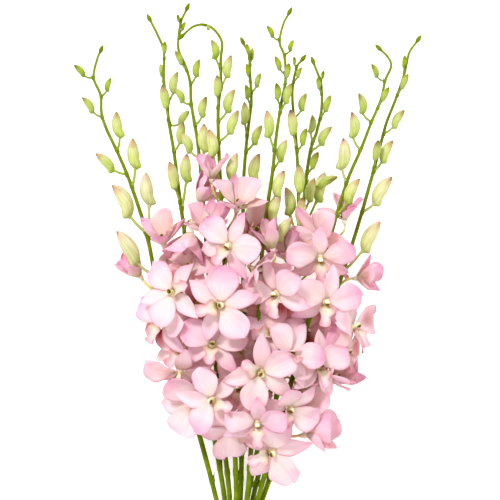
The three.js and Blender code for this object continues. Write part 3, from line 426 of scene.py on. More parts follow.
def tepals(bloom):
    """The sepals, petals and lip of a bloom in their order round it, each with its set and curl."""
    close = bloom[8]
    is_open = close < HALF_OPEN
    curl = -34 if is_open else 14
    shut = portion(HALF_OPEN, 60, close)
    if is_open:
        petal = dict(PETAL, set=close + 7, curl=curl + 4, cup=0.14, twist=10)
        lip = dict(LIP, set=52, curl=-48)
    else:
        petal = dict(length=PETAL["length"], width=PETAL["width"] * (0.75 - 0.33 * shut), set=close + 10,
                     curl=curl - 4, cup=0.5, twist=0)
        lip = dict(length=LIP["length"], width=LIP["width"] * (0.8 - 0.3 * shut), set=max(52, close + 12),
                   curl=-8)
    sepal = dict(SEPAL, set=close - 6, curl=curl - 4, cup=0.12 if is_open else 0.3, twist=8 if is_open else 0)
    upper = dict(SEPAL, set=close - 2, curl=curl, cup=0.16 if is_open else 0.3, twist=0)
    return [
        dict(upper, kind="sepal", turn=0),
        dict(petal, kind="petal", turn=67),
        dict(sepal, kind="sepal", turn=128),
        dict(lip, kind="lip", turn=180, cup=0.7, twist=0),
        dict(sepal, kind="sepal", turn=232, twist=-sepal["twist"]),
        dict(petal, kind="petal", turn=293, twist=-petal["twist"]),
    ]


def tepal_surface(place, t, give, u, v):
    """The middle surface of a blade. Its midrib leaves the heart at the blade's set and turns evenly through
    its curl, so out and rise are the sine and cosine differences over the turn; across it the half width
    times v runs along the edge direction, lifted by the cup times v squared."""
    bend, swing = give
    size = place["size"]
    turn = math.radians(t["turn"] + swing)
    start = math.radians(t["set"] + 0.5 * bend)
    turned = math.radians(t["curl"] + 0.7 * bend) or 1e-6
    length = t["length"] * size
    level = (-0.5 if t["kind"] == "sepal" else 0.5) * LEVEL * size
    out = HEART_R * size + length * (np.sin(start + turned * u) - math.sin(start)) / turned
    rise = level + length * (math.cos(start) - np.cos(start + turned * u)) / turned
    outward = place["dorsal"] * math.cos(turn) + place["side"] * math.sin(turn)
    sideways = -place["dorsal"] * math.sin(turn) + place["side"] * math.cos(turn)
    slope = start + turned * u
    face = -outward * np.sin(slope)[..., None] + place["facing"] * np.cos(slope)[..., None]
    half = 0.5 * t["width"] * size * outline(t["kind"], u)
    roll = math.radians(t["twist"]) * u
    edge = sideways * np.cos(roll)[..., None] + face * np.sin(roll)[..., None]
    at = place["centre"] + outward * out[..., None] + place["facing"] * rise[..., None]
    at = at + edge * (half * v)[..., None] + face * (t["cup"] * half * v * v)[..., None]
    return at, face, half


# Places on each solid blade that have a corner, as the way along and the side across.
ROWS = {
    "sepal": np.array([[0.4, -1], [0.4, 0], [0.4, 1], [0.78, -1], [0.78, 0], [0.78, 1]]),
    "petal": np.array([[0.34, -1], [0.34, 0], [0.34, 1], [0.72, -1], [0.72, 0], [0.72, 1],
                       [0.97, -1], [0.97, 1]]),
    "lip": np.array([[0.36, -1], [0.36, 0], [0.36, 1], [0.58, -1], [0.58, 1], [0.82, -1], [0.82, 1]]),
}


def node_points(name):
    """The corners of a solid in millimetres."""
    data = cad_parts[name].data
    flat = np.zeros(len(data.vertices) * 3, np.float32)
    data.vertices.foreach_get("co", flat)
    return np.unique(np.round(flat.reshape(-1, 3) / MM, 3), axis=0)


def nearest(points, corners):
    """The distance from each point to the nearest corner."""
    return np.linalg.norm(points[:, None] - corners[None], axis=-1).min(axis=1)


def given_way(place, t, corners):
    """The bend and swing that a blade has in its solid: the pair whose rows lie nearest to its corners."""
    u, v = ROWS[t["kind"]].T
    best, least = (0, 0), 1e9
    for give in GIVES:
        at, face, _ = tepal_surface(place, t, give, u, v)
        rows = np.vstack([at + face * BLADE / 2, at - face * BLADE / 2])
        off = np.minimum(nearest(rows, corners), 2.5).mean()
        if off < least - 1e-3:
            best, least = give, off
    return best


def bud_of(line, fact, corners):
    """A bud on its stalk: its tip is the corner of the solid over the bud's x and y; its axis looks from the
    stem to the tip and a third along the stem."""
    from_tip, x, y = fact[:3]
    at, along = station(line, from_tip)
    off = np.hypot(corners[:, 0] - x, corners[:, 1] - y)
    tip = corners[int(np.argmin(off))].copy()
    if off.min() > 1.0:
        return None
    tip[:2] = x, y
    length = fact[3] if len(fact) > 3 else BUD_SHARE * min(np.linalg.norm(tip - at), BUD_REACH)
    radius = BUD_FATNESS * length + 0.3
    axis = unit(unit(tip - at) + 0.35 * along)
    base = tip - axis * length
    base[2] = max(base[2], 0.8 * radius)
    return {"at": at, "along": along, "tip": tip, "base": base, "axis": unit(tip - base), "length": length,
            "radius": radius}


def stalk_of(line, place, corners):
    """A bloom's stalk: of the ways it may leave the stem, the one whose inner rings the solid has."""
    end = place["centre"] - place["facing"] * (CHIN * place["size"] + GAP)
    points = line["points"]
    best, least = None, 1e9
    for back in (22, 14, 30, 6, 38, 46, 54):
        k = int(np.argmin(np.linalg.norm(points - (end + [0, -back, 0]), axis=1)))
        at, after = points[k], points[min(k + 1, len(points) - 1)]
        along = unit(after - at)
        gap = np.linalg.norm(end - at)
        sway = unit(np.cross(along, end - at))
        t = np.array([1 / 3, 2 / 3]) if gap > 14 else np.array([0.5])
        for reach in (10, 5, 16, 22):
            for lean in (0, 1, -1, 2, -2):
                first = at + along * gap * 0.25 + (end - at) * 0.2 + sway * lean * 7
                knots = [at, first, end - place["facing"] * reach, end]
                inner = bezier(knots, t)
                away = np.abs(np.linalg.norm(inner[:, None] - corners[None], axis=-1) - STALK_R - 0.35)
                off = np.sort(away, axis=1)[:, :4].mean()
                if off < least:
                    best, least = {"knots": knots, "along": along, "end": end}, off
    return best


def srgb(r, g, b):
    """A colour given in 0..255 display values, as the light it reflects."""
    c = np.array([r, g, b], float) / 255
    return (*np.where(c <= 0.04045, c / 12.92, ((c + 0.055) / 1.055) ** 2.4), 1.0)


class Finish:
    """A material under way: its nodes, and short calls that make one node each."""

    def __init__(self, name, rough, sheen=0.0, specular=0.4):
        self.material = bpy.data.materials.new(name)
        self.material.use_nodes = True
        self.tree = self.material.node_tree
        self.shader = self.tree.nodes["Principled BSDF"]
        self.shader.inputs["Roughness"].default_value = rough
        self.shader.inputs["Sheen Weight"].default_value = sheen
        self.shader.inputs["Specular IOR Level"].default_value = specular

    def node(self, kind, **values):
        """A node of a kind, with its own settings."""
        node = self.tree.nodes.new(kind)
        for key, value in values.items():
            setattr(node, key, value)
        return node

    def put(self, value, socket):
        """Another node's output, or a plain value, into a socket."""
        if hasattr(value, "is_output"):
            self.tree.links.new(value, socket)
        else:
            socket.default_value = value

    def attribute(self, name):
        """The tone with its painted shade, or the age, that the form holds at each point."""
        return self.node("ShaderNodeAttribute", attribute_name=name).outputs["Fac"]

    def map(self):
        """The way along a part and the way across or round it, each from 0 to 1."""
        apart = self.node("ShaderNodeSeparateXYZ")
        self.put(self.node("ShaderNodeUVMap", uv_map="along_across").outputs["UV"], apart.inputs[0])
        return apart.outputs["X"], apart.outputs["Y"]

    def math(self, operation, a, b=0.0, clamp=False):
        """One step of arithmetic."""
        node = self.node("ShaderNodeMath", operation=operation, use_clamp=clamp)
        self.put(a, node.inputs[0])
        self.put(b, node.inputs[1])
        return node.outputs[0]

    def times(self, a, b):
        """Two values multiplied."""
        return self.math("MULTIPLY", a, b)

    def edge(self, across):
        """The way from a blade's midrib to either edge, from 0 to 1."""
        return self.times(self.math("ABSOLUTE", self.math("SUBTRACT", across, 0.5)), 2.0)

    def over(self, value, floor, gain):
        """How far a value stands over a floor, times a gain, up to 1."""
        return self.math("MULTIPLY", self.math("SUBTRACT", value, floor, clamp=True), gain, clamp=True)

    def drift(self, value, scale, detail, amount):
        """A value moved up and down a little by soft noise."""
        noise = self.math("SUBTRACT", self.spots(scale, detail), 0.5)
        return self.math("ADD", value, self.times(noise, amount))

    def veins(self, along, across):
        """Fine lines along a part, by noise stretched on its map."""
        return self.spots(1.0, 2.0, 0.6, stretch=(along, across, 1.0))

    def spots(self, scale, detail=3.0, rough=0.5, stretch=None):
        """Noise on the piece's own place, or on its map where it is stretched along it."""
        noise = self.node("ShaderNodeTexNoise")
        noise.inputs["Scale"].default_value = scale
        noise.inputs["Detail"].default_value = detail
        noise.inputs["Roughness"].default_value = rough
        mapping = self.node("ShaderNodeMapping")
        if stretch:
            own_map = self.node("ShaderNodeUVMap", uv_map="along_across").outputs["UV"]
            self.put(own_map, mapping.inputs["Vector"])
            mapping.inputs["Scale"].default_value = stretch
        else:
            self.put(self.node("ShaderNodeTexCoord").outputs["Object"], mapping.inputs["Vector"])
        self.put(mapping.outputs[0], noise.inputs["Vector"])
        return noise.outputs["Fac"]

    def ramp(self, value, *stops):
        """Colours at places along a value, eased between. The places come first, as they sort themselves."""
        node = self.node("ShaderNodeValToRGB")
        node.color_ramp.interpolation = "EASE"
        marks = node.color_ramp.elements
        while len(marks) < len(stops):
            marks.new(0.5)
        for mark, stop in zip(marks, stops):
            mark.position = stop[0]
        for mark, (at, *colour) in zip(marks, stops):
            mark.position, mark.color = at, srgb(*colour)
        self.put(value, node.inputs[0])
        return node.outputs["Color"]

    def blend(self, share, a, b, kind="MIX"):
        """a mixed with b, or multiplied by it, as far as the share."""
        node = self.node("ShaderNodeMix", data_type="RGBA", blend_type=kind)
        self.put(share, node.inputs[0])
        self.put(a, node.inputs[6])
        self.put(b, node.inputs[7])
        return node.outputs[2]

    def tinted(self, colour, tint):
        """A colour multiplied by a tint."""
        return self.blend(1.0, colour, tint, "MULTIPLY")

    def painted_shade(self, tone, colour, tint):
        """Painted shade: the colour times a tint, as far as the bunch stands over the place, the share raised
        to the power 1.7; a further, darker painted shade comes in with the fourth power."""
        painted_shade = self.blend(self.math("POWER", tone, 1.7), colour, self.tinted(colour, tint))
        # the tint of the deepest painted shade
        shade = self.tinted(painted_shade, srgb(190, 112, 88))
        return self.blend(self.math("POWER", tone, 4.0), painted_shade, shade)

    def done(self, colour, height=None, depth=0.0002, glow=0.0, glow_colour=None):
        """Colour and bump into the shader, and a share of light let through where the piece is thin."""
        self.put(colour, self.shader.inputs["Base Color"])
        bump = None
        if height is not None:
            bump = self.node("ShaderNodeBump")
            bump.inputs["Strength"].default_value = 0.6
            bump.inputs["Distance"].default_value = depth
            self.put(height, bump.inputs["Height"])
            self.put(bump.outputs[0], self.shader.inputs["Normal"])
        if glow:
            through = self.node("ShaderNodeBsdfTranslucent")
            self.put(glow_colour if glow_colour is not None else colour, through.inputs["Color"])
            mix = self.node("ShaderNodeMixShader")
            self.put(glow, mix.inputs[0])
            self.tree.links.new(self.shader.outputs[0], mix.inputs[1])
            self.tree.links.new(through.outputs[0], mix.inputs[2])
            self.tree.links.new(mix.outputs[0], self.tree.nodes["Material Output"].inputs["Surface"])
        return self.material


def petal_finish():
    """Cream at the root, pale in the middle, pinker to the tip and the edges, with lilac clouds and fine
    veins; greener and rosier in young blooms, and a painted red-brown shade where the bunch stands over it."""
    f = Finish("petal_skin", rough=0.6, sheen=0.08, specular=0.2)
    u, v = f.map()
    edge = f.edge(v)
    along = f.drift(u, 55.0, 3.0, 0.4)
    body = f.ramp(along, (0.0, 238, 240, 214), (0.14, 251, 248, 244), (0.5, 251, 243, 248),
                  (0.8, 248, 220, 236), (1.0, 242, 188, 218))
    rim = f.times(f.math("POWER", edge, 3.0), 0.5)
    body = f.blend(rim, body, srgb(244, 196, 219))
    lilac = f.over(f.spots(34.0, 1.0), 0.5, 3.0)
    body = f.blend(f.times(lilac, 0.7), body, srgb(239, 200, 232))
    young = f.ramp(along, (0.0, 200, 210, 124), (0.2, 242, 232, 218), (0.45, 247, 220, 238),
                   (1.0, 234, 168, 210))
    body = f.blend(f.attribute("age"), body, young)
    tone = f.math("ADD", f.drift(f.attribute("tone"), 16.0, 2.0, 0.6), 0.0, clamp=True)
    # painted shade, red-brown, where the bunch stands over the petal
    body = f.painted_shade(tone, body, srgb(224, 108, 88))
    veins = f.veins(1.6, 34.0)
    body = f.blend(f.over(veins, 0.42, 1.2), body, srgb(240, 186, 206))
    height = f.math("ADD", veins, f.times(f.spots(900.0, 2.0), 0.15))
    through = f.tinted(body, srgb(255, 204, 202))
    # less light let through where the painted shade is deep
    glow = f.times(f.math("SUBTRACT", 1.0, tone), 0.38)
    return f.done(body, height, 0.0003, glow, through)


def lip_finish():
    """Yellow and brown in the throat, cream on the keels, pale pink on the lobes, and painted shade where the
    bunch stands over it.
    """
    f = Finish("lip_skin", rough=0.5, sheen=0.1, specular=0.35)
    u, v = f.map()
    edge = f.edge(v)
    body = f.ramp(f.drift(u, 70.0, 3.0, 0.3), (0.0, 150, 118, 40), (0.09, 204, 184, 112),
                  (0.2, 240, 232, 208), (0.55, 246, 226, 224), (1.0, 243, 200, 214))
    pale = f.ramp(f.drift(edge, 70.0, 3.0, 0.3), (0.4, 255, 255, 255), (1.0, 250, 212, 220))
    body = f.tinted(body, pale)
    speck = f.math("GREATER_THAN", f.spots(420.0, 1.0), 0.66)
    near = f.times(f.math("LESS_THAN", u, 0.22), speck)
    body = f.blend(f.times(near, 0.7), body, srgb(120, 70, 30))
    # painted shade where the bunch stands over the lip
    body = f.painted_shade(f.attribute("tone"), body, srgb(208, 120, 92))
    return f.done(body, f.veins(1.4, 26.0), 0.0003, glow=0.28)


def plain_finish(name, *stops, rough, specular, cloud, grain=600.0, sheen=0.0, glow=0.0, shade_tint=None):
    """A skin whose colours run along its part, with a fine grain, and a painted shade where the bunch stands
    over it. A soft cloud moves the colours a little: its scale, and how far."""
    f = Finish(name, rough, sheen, specular)
    u, _ = f.map()
    scale, amount = cloud
    body = f.ramp(f.drift(u, scale, 2.0, amount), *stops)
    # painted shade, by the shade tint, where the bunch stands over the skin
    if shade_tint:
        body = f.painted_shade(f.attribute("tone"), body, srgb(*shade_tint))
    return f.done(body, f.spots(grain, 2.0), 0.0001, glow)


def stem_finish():
    """Fresh green, yellower toward the tip, with long streaks and a few pale and dark freckles, and a painted
    brown shade deep in the bunch."""
    f = Finish("stem_skin", rough=0.65, specular=0.05)
    streak = f.spots(1.0, 3.0, 0.6, stretch=(30.0, 12.0, 1.0))
    base = f.ramp(f.attribute("age"), (0.0, 108, 128, 4), (0.5, 104, 126, 1),
                  (0.8, 116, 136, 1), (1.0, 128, 146, 2))
    body = f.blend(f.times(streak, 0.6), base, srgb(52, 72, 1))
    body = f.blend(f.over(f.spots(95.0, 2.0), 0.5, 1.6), body, srgb(146, 164, 20))
    freckle = f.math("GREATER_THAN", f.spots(520.0, 1.0), 0.68)
    body = f.blend(f.times(freckle, 0.3), body, srgb(160, 176, 60))
    brown = f.math("GREATER_THAN", f.spots(120.0, 3.0), 0.7)
    body = f.blend(f.times(brown, 0.25), body, srgb(120, 104, 40))
    # painted shade: brown where the bunch stands over the stem
    body = f.blend(f.over(f.attribute("tone"), 0.45, 2.2), body, srgb(92, 62, 28))
    return f.done(body, f.math("ADD", streak, f.times(f.spots(700.0, 2.0), 0.3)), 0.00025)


def bud_finish():
    """Green in the small buds; in the large ones pale yellow-green with browned tips. A bud's tone is its
    blush where it is above 0 and its green seams where it is below."""
    f = Finish("bud_skin", rough=0.55, specular=0.1)
    u, _ = f.map()
    along = f.drift(u, 150.0, 3.0, 0.3)
    young = f.ramp(along, (0.0, 110, 142, 2), (0.5, 156, 178, 8), (1.0, 132, 136, 10))
    grown = f.ramp(along, (0.0, 152, 178, 44), (0.3, 200, 212, 118), (0.66, 212, 214, 148),
                   (0.86, 210, 172, 136), (1.0, 138, 72, 62))
    body = f.blend(f.ramp(f.attribute("age"), (0.2, 0, 0, 0), (0.95, 255, 255, 255)), young, grown)
    tone = f.attribute("tone")
    blush = f.times(f.math("MAXIMUM", tone, 0.0), f.math("ADD", f.times(u, 0.3), 0.36))
    body = f.blend(blush, body, srgb(240, 224, 206))
    seam = f.math("MULTIPLY", tone, -1.0, clamp=True)
    body = f.blend(seam, body, f.tinted(body, srgb(150, 174, 90)))
    veins = f.veins(1.5, 18.0)
    body = f.blend(f.over(veins, 0.42, 1.7), body, srgb(126, 146, 44))
    return f.done(body, veins, 0.00025, glow=0.12)


def band_finish():
    """Natural rubber: tan, a little cloudy, with a dusty bloom and fine lengthwise lines."""
    f = Finish("band_rubber", rough=0.62, specular=0.35)
    cloud = f.spots(130.0, 4.0)
    body = f.ramp(cloud, (0.3, 186, 146, 92), (0.6, 204, 166, 110), (0.8, 216, 184, 134))
    lines = f.spots(1.0, 2.0, 0.5, stretch=(4.0, 60.0, 1.0))
    return f.done(body, f.math("ADD", f.spots(900.0, 3.0), lines), 0.00015)


LOOKS = {
    "petal": petal_finish(),
    "lip": lip_finish(),
    "stem": stem_finish(),
    "bud": bud_finish(),
    # cream, greenish at its foot, and dark brown at its nodding end: painted shade for the hollow under its
    # cap
    "column": plain_finish(
        "column_skin", (0.0, 196, 194, 104), (0.4, 232, 226, 180), (0.62, 246, 242, 222),
        (0.71, 204, 188, 118), (0.79, 92, 70, 24),
        rough=0.75, specular=0.08, cloud=(160.0, 0.12), grain=500.0,
    ),
    # green by the stalk, cream, then blush at the front, with painted shade deep in the bunch
    "heart": plain_finish(
        "heart_skin", (0.0, 186, 200, 112), (0.25, 232, 226, 186), (0.6, 250, 228, 226), (1.0, 226, 206, 140),
        rough=0.5, sheen=0.1, specular=0.4, cloud=(120.0, 0.25), glow=0.15, shade_tint=(196, 110, 84),
    ),
    # green where it leaves the stem, cream and blush toward the bloom, with painted shade deep in the bunch
    "stalk": plain_finish(
        "stalk_skin", (0.0, 128, 166, 30), (0.45, 176, 196, 88), (0.8, 214, 212, 140), (1.0, 232, 208, 176),
        rough=0.55, specular=0.2, cloud=(150.0, 0.3), shade_tint=(190, 90, 66),
    ),
}


def add_stem(form, line, joints, rng):
    """The stem: a round skin along its line, its radius swollen by a narrow bell curve round each joint, with
    a scale at each bare one. Gives its rings' centres and radii."""
    s = np.arange(0, line["length"], 2.0)
    s = np.append(s, line["length"])
    centre = np.stack([np.interp(s, line["reach"], line["points"][:, k]) for k in range(3)], -1)
    radius = stem_radius(s, line["length"]) * (0.93 + 0.3 * (s / line["length"]) ** 2)
    bare = np.arange(line["length"] * 0.16, line["length"] * 0.42, NODE_EVERY) + rng.uniform(-6, 6)
    for joint in [*joints, *bare]:
        radius = radius * (1 + JOINT_SWELL * np.exp(-(((s - joint) / JOINT_HALF) ** 2)))
    add_carried(form, centre, radius, STEM_SIDES, 0, np.repeat(s / line["length"], STEM_SIDES))
    for joint in bare:
        k = int(np.searchsorted(s, joint))
        add_bract(form, centre[k], unit(centre[k + 1] - centre[k]), rng.uniform(0, 6.28), radius[k], 9.0)
    return centre, radius


def add_bract(form, at, along, turn, radius, length):
    """A thin pointed scale that clasps the stem: its section is an arc round the stem, which narrows with the
    power 1.5 of the way along as the scale leaves the stem by its square."""
    first, second = square_to(along)
    out = first * math.cos(turn) + second * math.sin(turn)
    across = np.cross(along, out)
    u, v = np.meshgrid(np.linspace(0, 1, 6), np.linspace(-1, 1, 5), indexing="ij")
    arc = v * (1.25 - 1.1 * u**1.5)
    reach = radius * 1.06 + 0.12 + 0.16 * length * u**2
    face = out * np.cos(arc)[..., None] + across * np.sin(arc)[..., None]
    middle = at + along * (length * (u - 0.25))[..., None] + face * reach[..., None]
    add_blade(form, middle, face, 0.1 + 0.05 * (1 - v**2), u, v, 0, 0.3, 0.85)


def add_bud(form, bud, rng):
    """A bud and its stalk as one skin: the stalk's radius eases into a spindle u^0.7 (1-u)^0.8, fullest near
    the middle, with three creases at the zeros of a cosine of one and a half times the angle, where its
    sepals meet, and a chin on the outer side of its base, a bell curve along the bud."""
    reach = np.linalg.norm(bud["base"] - bud["at"])
    control = bud["base"] - bud["axis"] * 0.5 * reach
    stalk = bezier([bud["at"], control, bud["base"]], np.linspace(0, 0.9, ROOT_RINGS + 1)[:-1])
    u = 0.5 - 0.5 * np.cos(np.pi * np.linspace(0, 1, BUD_RINGS))
    bow = unit(np.cross(np.cross(bud["axis"], bud["along"]), bud["axis"]))
    grown = portion(6, 24, bud["length"])
    length, radius = 1.1 * bud["length"], bud["radius"] * (0.8 + 0.06 * grown)
    nod = rng.uniform(0.03, 0.1) * length * np.sin(np.pi * u)
    body = bud["tip"] + bud["axis"] * ((u - 1) * length)[:, None] + bow * nod[:, None]
    thin = (BUD_STALK_R + 0.02 * length) * 0.8
    spindle = u**0.7 * (1 - u) ** 0.8
    spindle = spindle / spindle.max()
    root = thin * np.linspace(1.25, 1.0, ROOT_RINGS)
    radii = np.concatenate([root, np.maximum(thin * (1 - u) ** 2, radius * spindle)])
    radii[-1] = 0.06
    on_way = np.concatenate([np.zeros(ROOT_RINGS), u])[:, None, None]
    rings = ROOT_RINGS + BUD_RINGS
    on_bud = (np.arange(rings) >= ROOT_RINGS)[:, None, None]
    outer = unit(bud["base"] - bud["at"] - bud["along"] * ((bud["base"] - bud["at"]) @ bud["along"]))
    blush = rng.uniform(0, 0.4) + 0.6 * (length > 27)
    tones = np.full((rings, BUD_SIDES, 1), blush)

    def push(out, size):
        """The chin and the ridges between the creases; it also marks the creases in the tones."""
        lean = (out @ outer)[..., None]
        chin = 0.7 * np.exp(-(((on_way - 0.12) / 0.11) ** 2)) * np.clip(lean, 0, 1) ** 2 * radius
        angle = np.arctan2(lean, (out @ bow)[..., None])
        fold = np.abs(np.cos(1.5 * angle + 0.8 * on_way))
        tones[:] = blush - (blush + 0.9) * np.exp(-((fold / 0.4) ** 2)) * smoothstep(0.02, 0.2, on_way)
        ridge = (0.2 * fold**0.5 - 0.14) * size * smoothstep(0.05, 0.3, on_way)
        back = -bud["axis"] * chin * 0.8
        return on_bud * (out * (chin + ridge) + back)

    line = np.vstack([stalk, body])
    points, maps = carried(line, radii, BUD_SIDES, push)
    maps[:, 0] = np.repeat(on_way.ravel(), BUD_SIDES)
    form.add(points, maps, ring_faces(rings, BUD_SIDES), 1, tones.ravel(), grown)


def add_stalk(form, stalk, rng):
    """A bloom's stalk: thin at the stem, a little thicker in its last third, where the seeds would form."""
    t = np.linspace(0, 1, 18)
    line = bezier(stalk["knots"], t)
    radii = 0.92 + 0.25 * smoothstep(0.45, 0.85, t) + 0.35 * np.exp(-((t / 0.05) ** 2))
    add_carried(form, line, radii * STALK_R * rng.uniform(0.95, 1.1), STALK_SIDES, 2)


def tepal_lift(kind, size, rng, u, v):
    """How far a finished blade stands off along its facing: sine ripples that grow with the power 2.2 toward
    each edge, a cubed curl of a petal's edges, soft folds, a groove along the midrib, and a rise or fall of
    the tip by an eased square. A lip has three keels in its throat in place of the last three."""
    plain = kind != "lip"
    ripple, waves = RIPPLE[kind]
    left, right, fold = rng.uniform(0, 2 * np.pi, 3)
    strength = ripple * rng.uniform(0.5, 1.3) * size
    wave = np.where(v < 0, np.sin(2 * np.pi * waves * u + left), np.sin(2 * np.pi * waves * u + right))
    lift = strength * np.abs(v) ** 2.2 * wave * smoothstep(0.15, 0.6, u)
    curl = np.where(v < 0, rng.uniform(*STRAY["curl"]), rng.uniform(*STRAY["curl"])) * (kind == "petal")
    lift = lift + curl * size * np.abs(v) ** 3 * smoothstep(0.3, 0.9, u)
    folds = rng.uniform(*STRAY["fold"]) if kind == "petal" else PLAIN_FOLD
    lift = lift + folds * size * np.sin(4.2 * v + 2.0 * u + fold) * np.sin(np.pi * u) * plain
    lift = lift - GROOVE * size * np.exp(-((v / 0.16) ** 2)) * np.sin(np.pi * np.clip(u, 0, 1)) * plain
    lift = lift + rng.uniform(*STRAY["tip"]) * size * smoothstep(0.5, 1.0, u) ** 2 * plain
    if kind == "lip":
        keels = sum(np.exp(-(((v - c) / 0.09) ** 2)) for c in (-0.24, 0.0, 0.24))
        lift = lift + KEEL * size * keels * smoothstep(0.02, 0.15, u) * (1 - smoothstep(0.45, 0.62, u))
    return lift


def add_tepal(form, place, t, give, rng, tone, young):
    """One sepal, petal or lip on its solid's surface, with its own cup, twist and width. But for a lip, its
    edges are uneven by a slow sine, its midrib sways by half a sine, and its apex is drawn out by a bell
    curve. It is thickest along its midrib and thins to the tip."""
    nu, nv = TEPAL_GRID[t["kind"]]
    u, v = np.meshgrid(1 - (1 - np.linspace(0, 1, nu)) ** 1.4, np.linspace(-1, 1, nv), indexing="ij")
    size = place["size"]
    own = dict(t, cup=t["cup"] + rng.uniform(*STRAY["cup"]), twist=t["twist"] + rng.uniform(*STRAY["twist"]))
    wide = HALF_OPEN_WIDER if young > 0.2 and t["kind"] == "petal" else 1.0
    own["width"] = t["width"] * wide * place["spread"]
    plain = t["kind"] != "lip"
    uneven = np.where(v < 0, rng.uniform(*STRAY["edge"]), rng.uniform(*STRAY["edge"]))
    uneven = uneven + 0.05 * np.sin(6 * u + rng.uniform(0, 6.28) + 2 * np.sign(v)) * smoothstep(0.3, 0.6, u)
    at, face, _ = tepal_surface(place, own, give, np.minimum(u, 0.996), v * (1 + uneven * plain))
    sway = rng.uniform(*STRAY["sway"]) * size * np.sin(np.pi * u)
    rib = unit(at[:, -1] - at[:, 0])[:, None] * sway[..., None]
    ahead = unit(at[-1:, nv // 2] - at[-4:-3, nv // 2])
    apex = rng.uniform(*STRAY["apex"]) * size * np.exp(-((v / 0.3) ** 2)) * smoothstep(0.8, 1.0, u)
    at = at + (rib + ahead[:, None] * apex[..., None]) * plain
    at = at + face * tepal_lift(t["kind"], size, rng, u, v)[..., None]
    thick = (0.1 + 0.2 * (1 - v**2)) * (1 - 0.5 * u)
    # painted shade: the blade's tone rises where the bunch stands over it, less in a young bloom
    tones = tone + rng.uniform(-0.2, 0.12) + (1.3 - 0.7 * young) * crowd(at)
    both = np.concatenate([tones, tones[:, ::-1]], axis=1).ravel()
    pale = rng.uniform(0.45, 1.15) if plain else 1.0
    add_blade(form, at, face, thick, u * pale, v, 0 if plain else 1, both, young)


def add_heart(form, place):
    """The chin and the ring that the blades leave from: a round section that widens, then closes in front."""
    size = place["size"]
    height = np.array([-7.0, -6.4, -5.2, -3.8, -2.4, -1.4, -0.4, 0.6, 1.4, 1.9]) * size
    radii = np.array([1.35, 1.6, 2.0, 2.55, 3.0, 3.15, 3.15, 2.9, 1.9, 0.3]) * size
    shift = np.array([0, -0.1, -0.3, -0.5, -0.45, -0.3, 0, 0, 0, 0]) * size
    line = place["centre"] + place["facing"] * height[:, None] + place["dorsal"] * shift[:, None]
    add_carried(form, line, radii, HEART_SIDES, 3)


def add_column(form, place):
    """The column: a short club that leans back, then nods over its hollow with a round cap."""
    size = place["size"]
    knots = np.array([[0.6, 0.0], [2.0, 0.5], [3.6, 1.1], [5.0, 1.2], [6.0, 0.5], [6.5, -0.4], [6.55, -1.3]])
    t = np.linspace(0, 6, 19)
    along = np.interp(t, range(7), knots[:, 0])
    back = np.interp(t, range(7), knots[:, 1])
    radii = np.interp(t, range(7), [2.1, 1.9, 1.9, 2.2, 2.3, 1.7, 0.2])
    line = place["centre"] + (place["facing"] * along[:, None] + place["dorsal"] * back[:, None]) * size
    add_carried(form, line, radii * size, STEM_SIDES, 2)


def make_sprays():
    """Each spray as one piece over its solid: stem, tip, buds with their scales, and the blooms' stalks."""
    for index, (name, ((x, z, band_x, band_z), rest, buds)) in enumerate(SPRAYS.items()):
        rng = np.random.default_rng(SPRAY_SEED + index)
        line = smooth_line([(x, CUT_Y, z), *[(band_x, y, band_z) for y in UNDER_BAND], *rest])
        corners = node_points("spray_" + name)
        grown = [bud for bud in (bud_of(line, fact, corners) for fact in buds) if bud]
        stalks = [stalk_of(line, stand(bloom), corners) for bloom in BLOOMS if bloom[0] == name]
        joints = [line["length"] - fact[0] for fact in buds]
        for stalk in stalks:
            off = np.linalg.norm(line["points"] - stalk["knots"][0], axis=1)
            joints.append(line["reach"][int(np.argmin(off))])
        form = Form()
        centre, radius = add_stem(form, line, joints, rng)
        tip, ahead = station(line, 0)
        nose = tip + ahead * (np.array([0, 0.3, 0.6, 0.9, 1.0]) * TIP_BUD)[:, None]
        add_carried(form, nose, [TIP_R * 1.2, 1.95, 1.8, 0.8, 0.06], STEM_SIDES, 0, 0.7)
        for bud in grown:
            add_bud(form, bud, rng)
            k = min(int(np.argmin(np.linalg.norm(centre - bud["at"], axis=1))), len(centre) - 2)
            way = unit(bud["base"] - bud["at"])
            first, second = square_to(bud["along"])
            turn = math.atan2(way @ second, way @ first)
            add_bract(form, centre[k] - bud["along"] * 1.0, bud["along"], turn, radius[k], 4.2)
        for stalk in stalks:
            add_stalk(form, stalk, rng)
        piece = form.piece("spray_skin_" + name, [LOOKS["stem"], LOOKS["bud"], LOOKS["stalk"]])
        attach(piece, "root")
        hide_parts("spray_" + name)


def make_blooms():
    """Each bloom as one piece over its solid. A bloom with many others over it spreads its blades wider, so
    that it fills the gap that it is seen through."""
    for index, bloom in enumerate(BLOOMS):
        name = f"{index + 1:02d}"
        rng = np.random.default_rng(BLOOM_SEED + index)
        place = stand(bloom)
        raised = smoothstep(WIDER_FROM, WIDER_TO, place["centre"][2])
        place["spread"] = 1 + WIDER * float(crowd(place["centre"]) * raised)
        corners = node_points("bloom_" + name)
        form = Form()
        tone = rng.uniform(-0.12, 0.16)
        young = portion(20, 50, bloom[8])
        for t in tepals(bloom):
            add_tepal(form, place, t, given_way(place, t, corners), rng, tone, young)
        add_heart(form, place)
        add_column(form, place)
        looks = [LOOKS[part] for part in ("petal", "lip", "column", "heart")]
        piece = form.piece("bloom_skin_" + name, looks)
        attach(piece, "root")
        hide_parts("bloom_" + name)


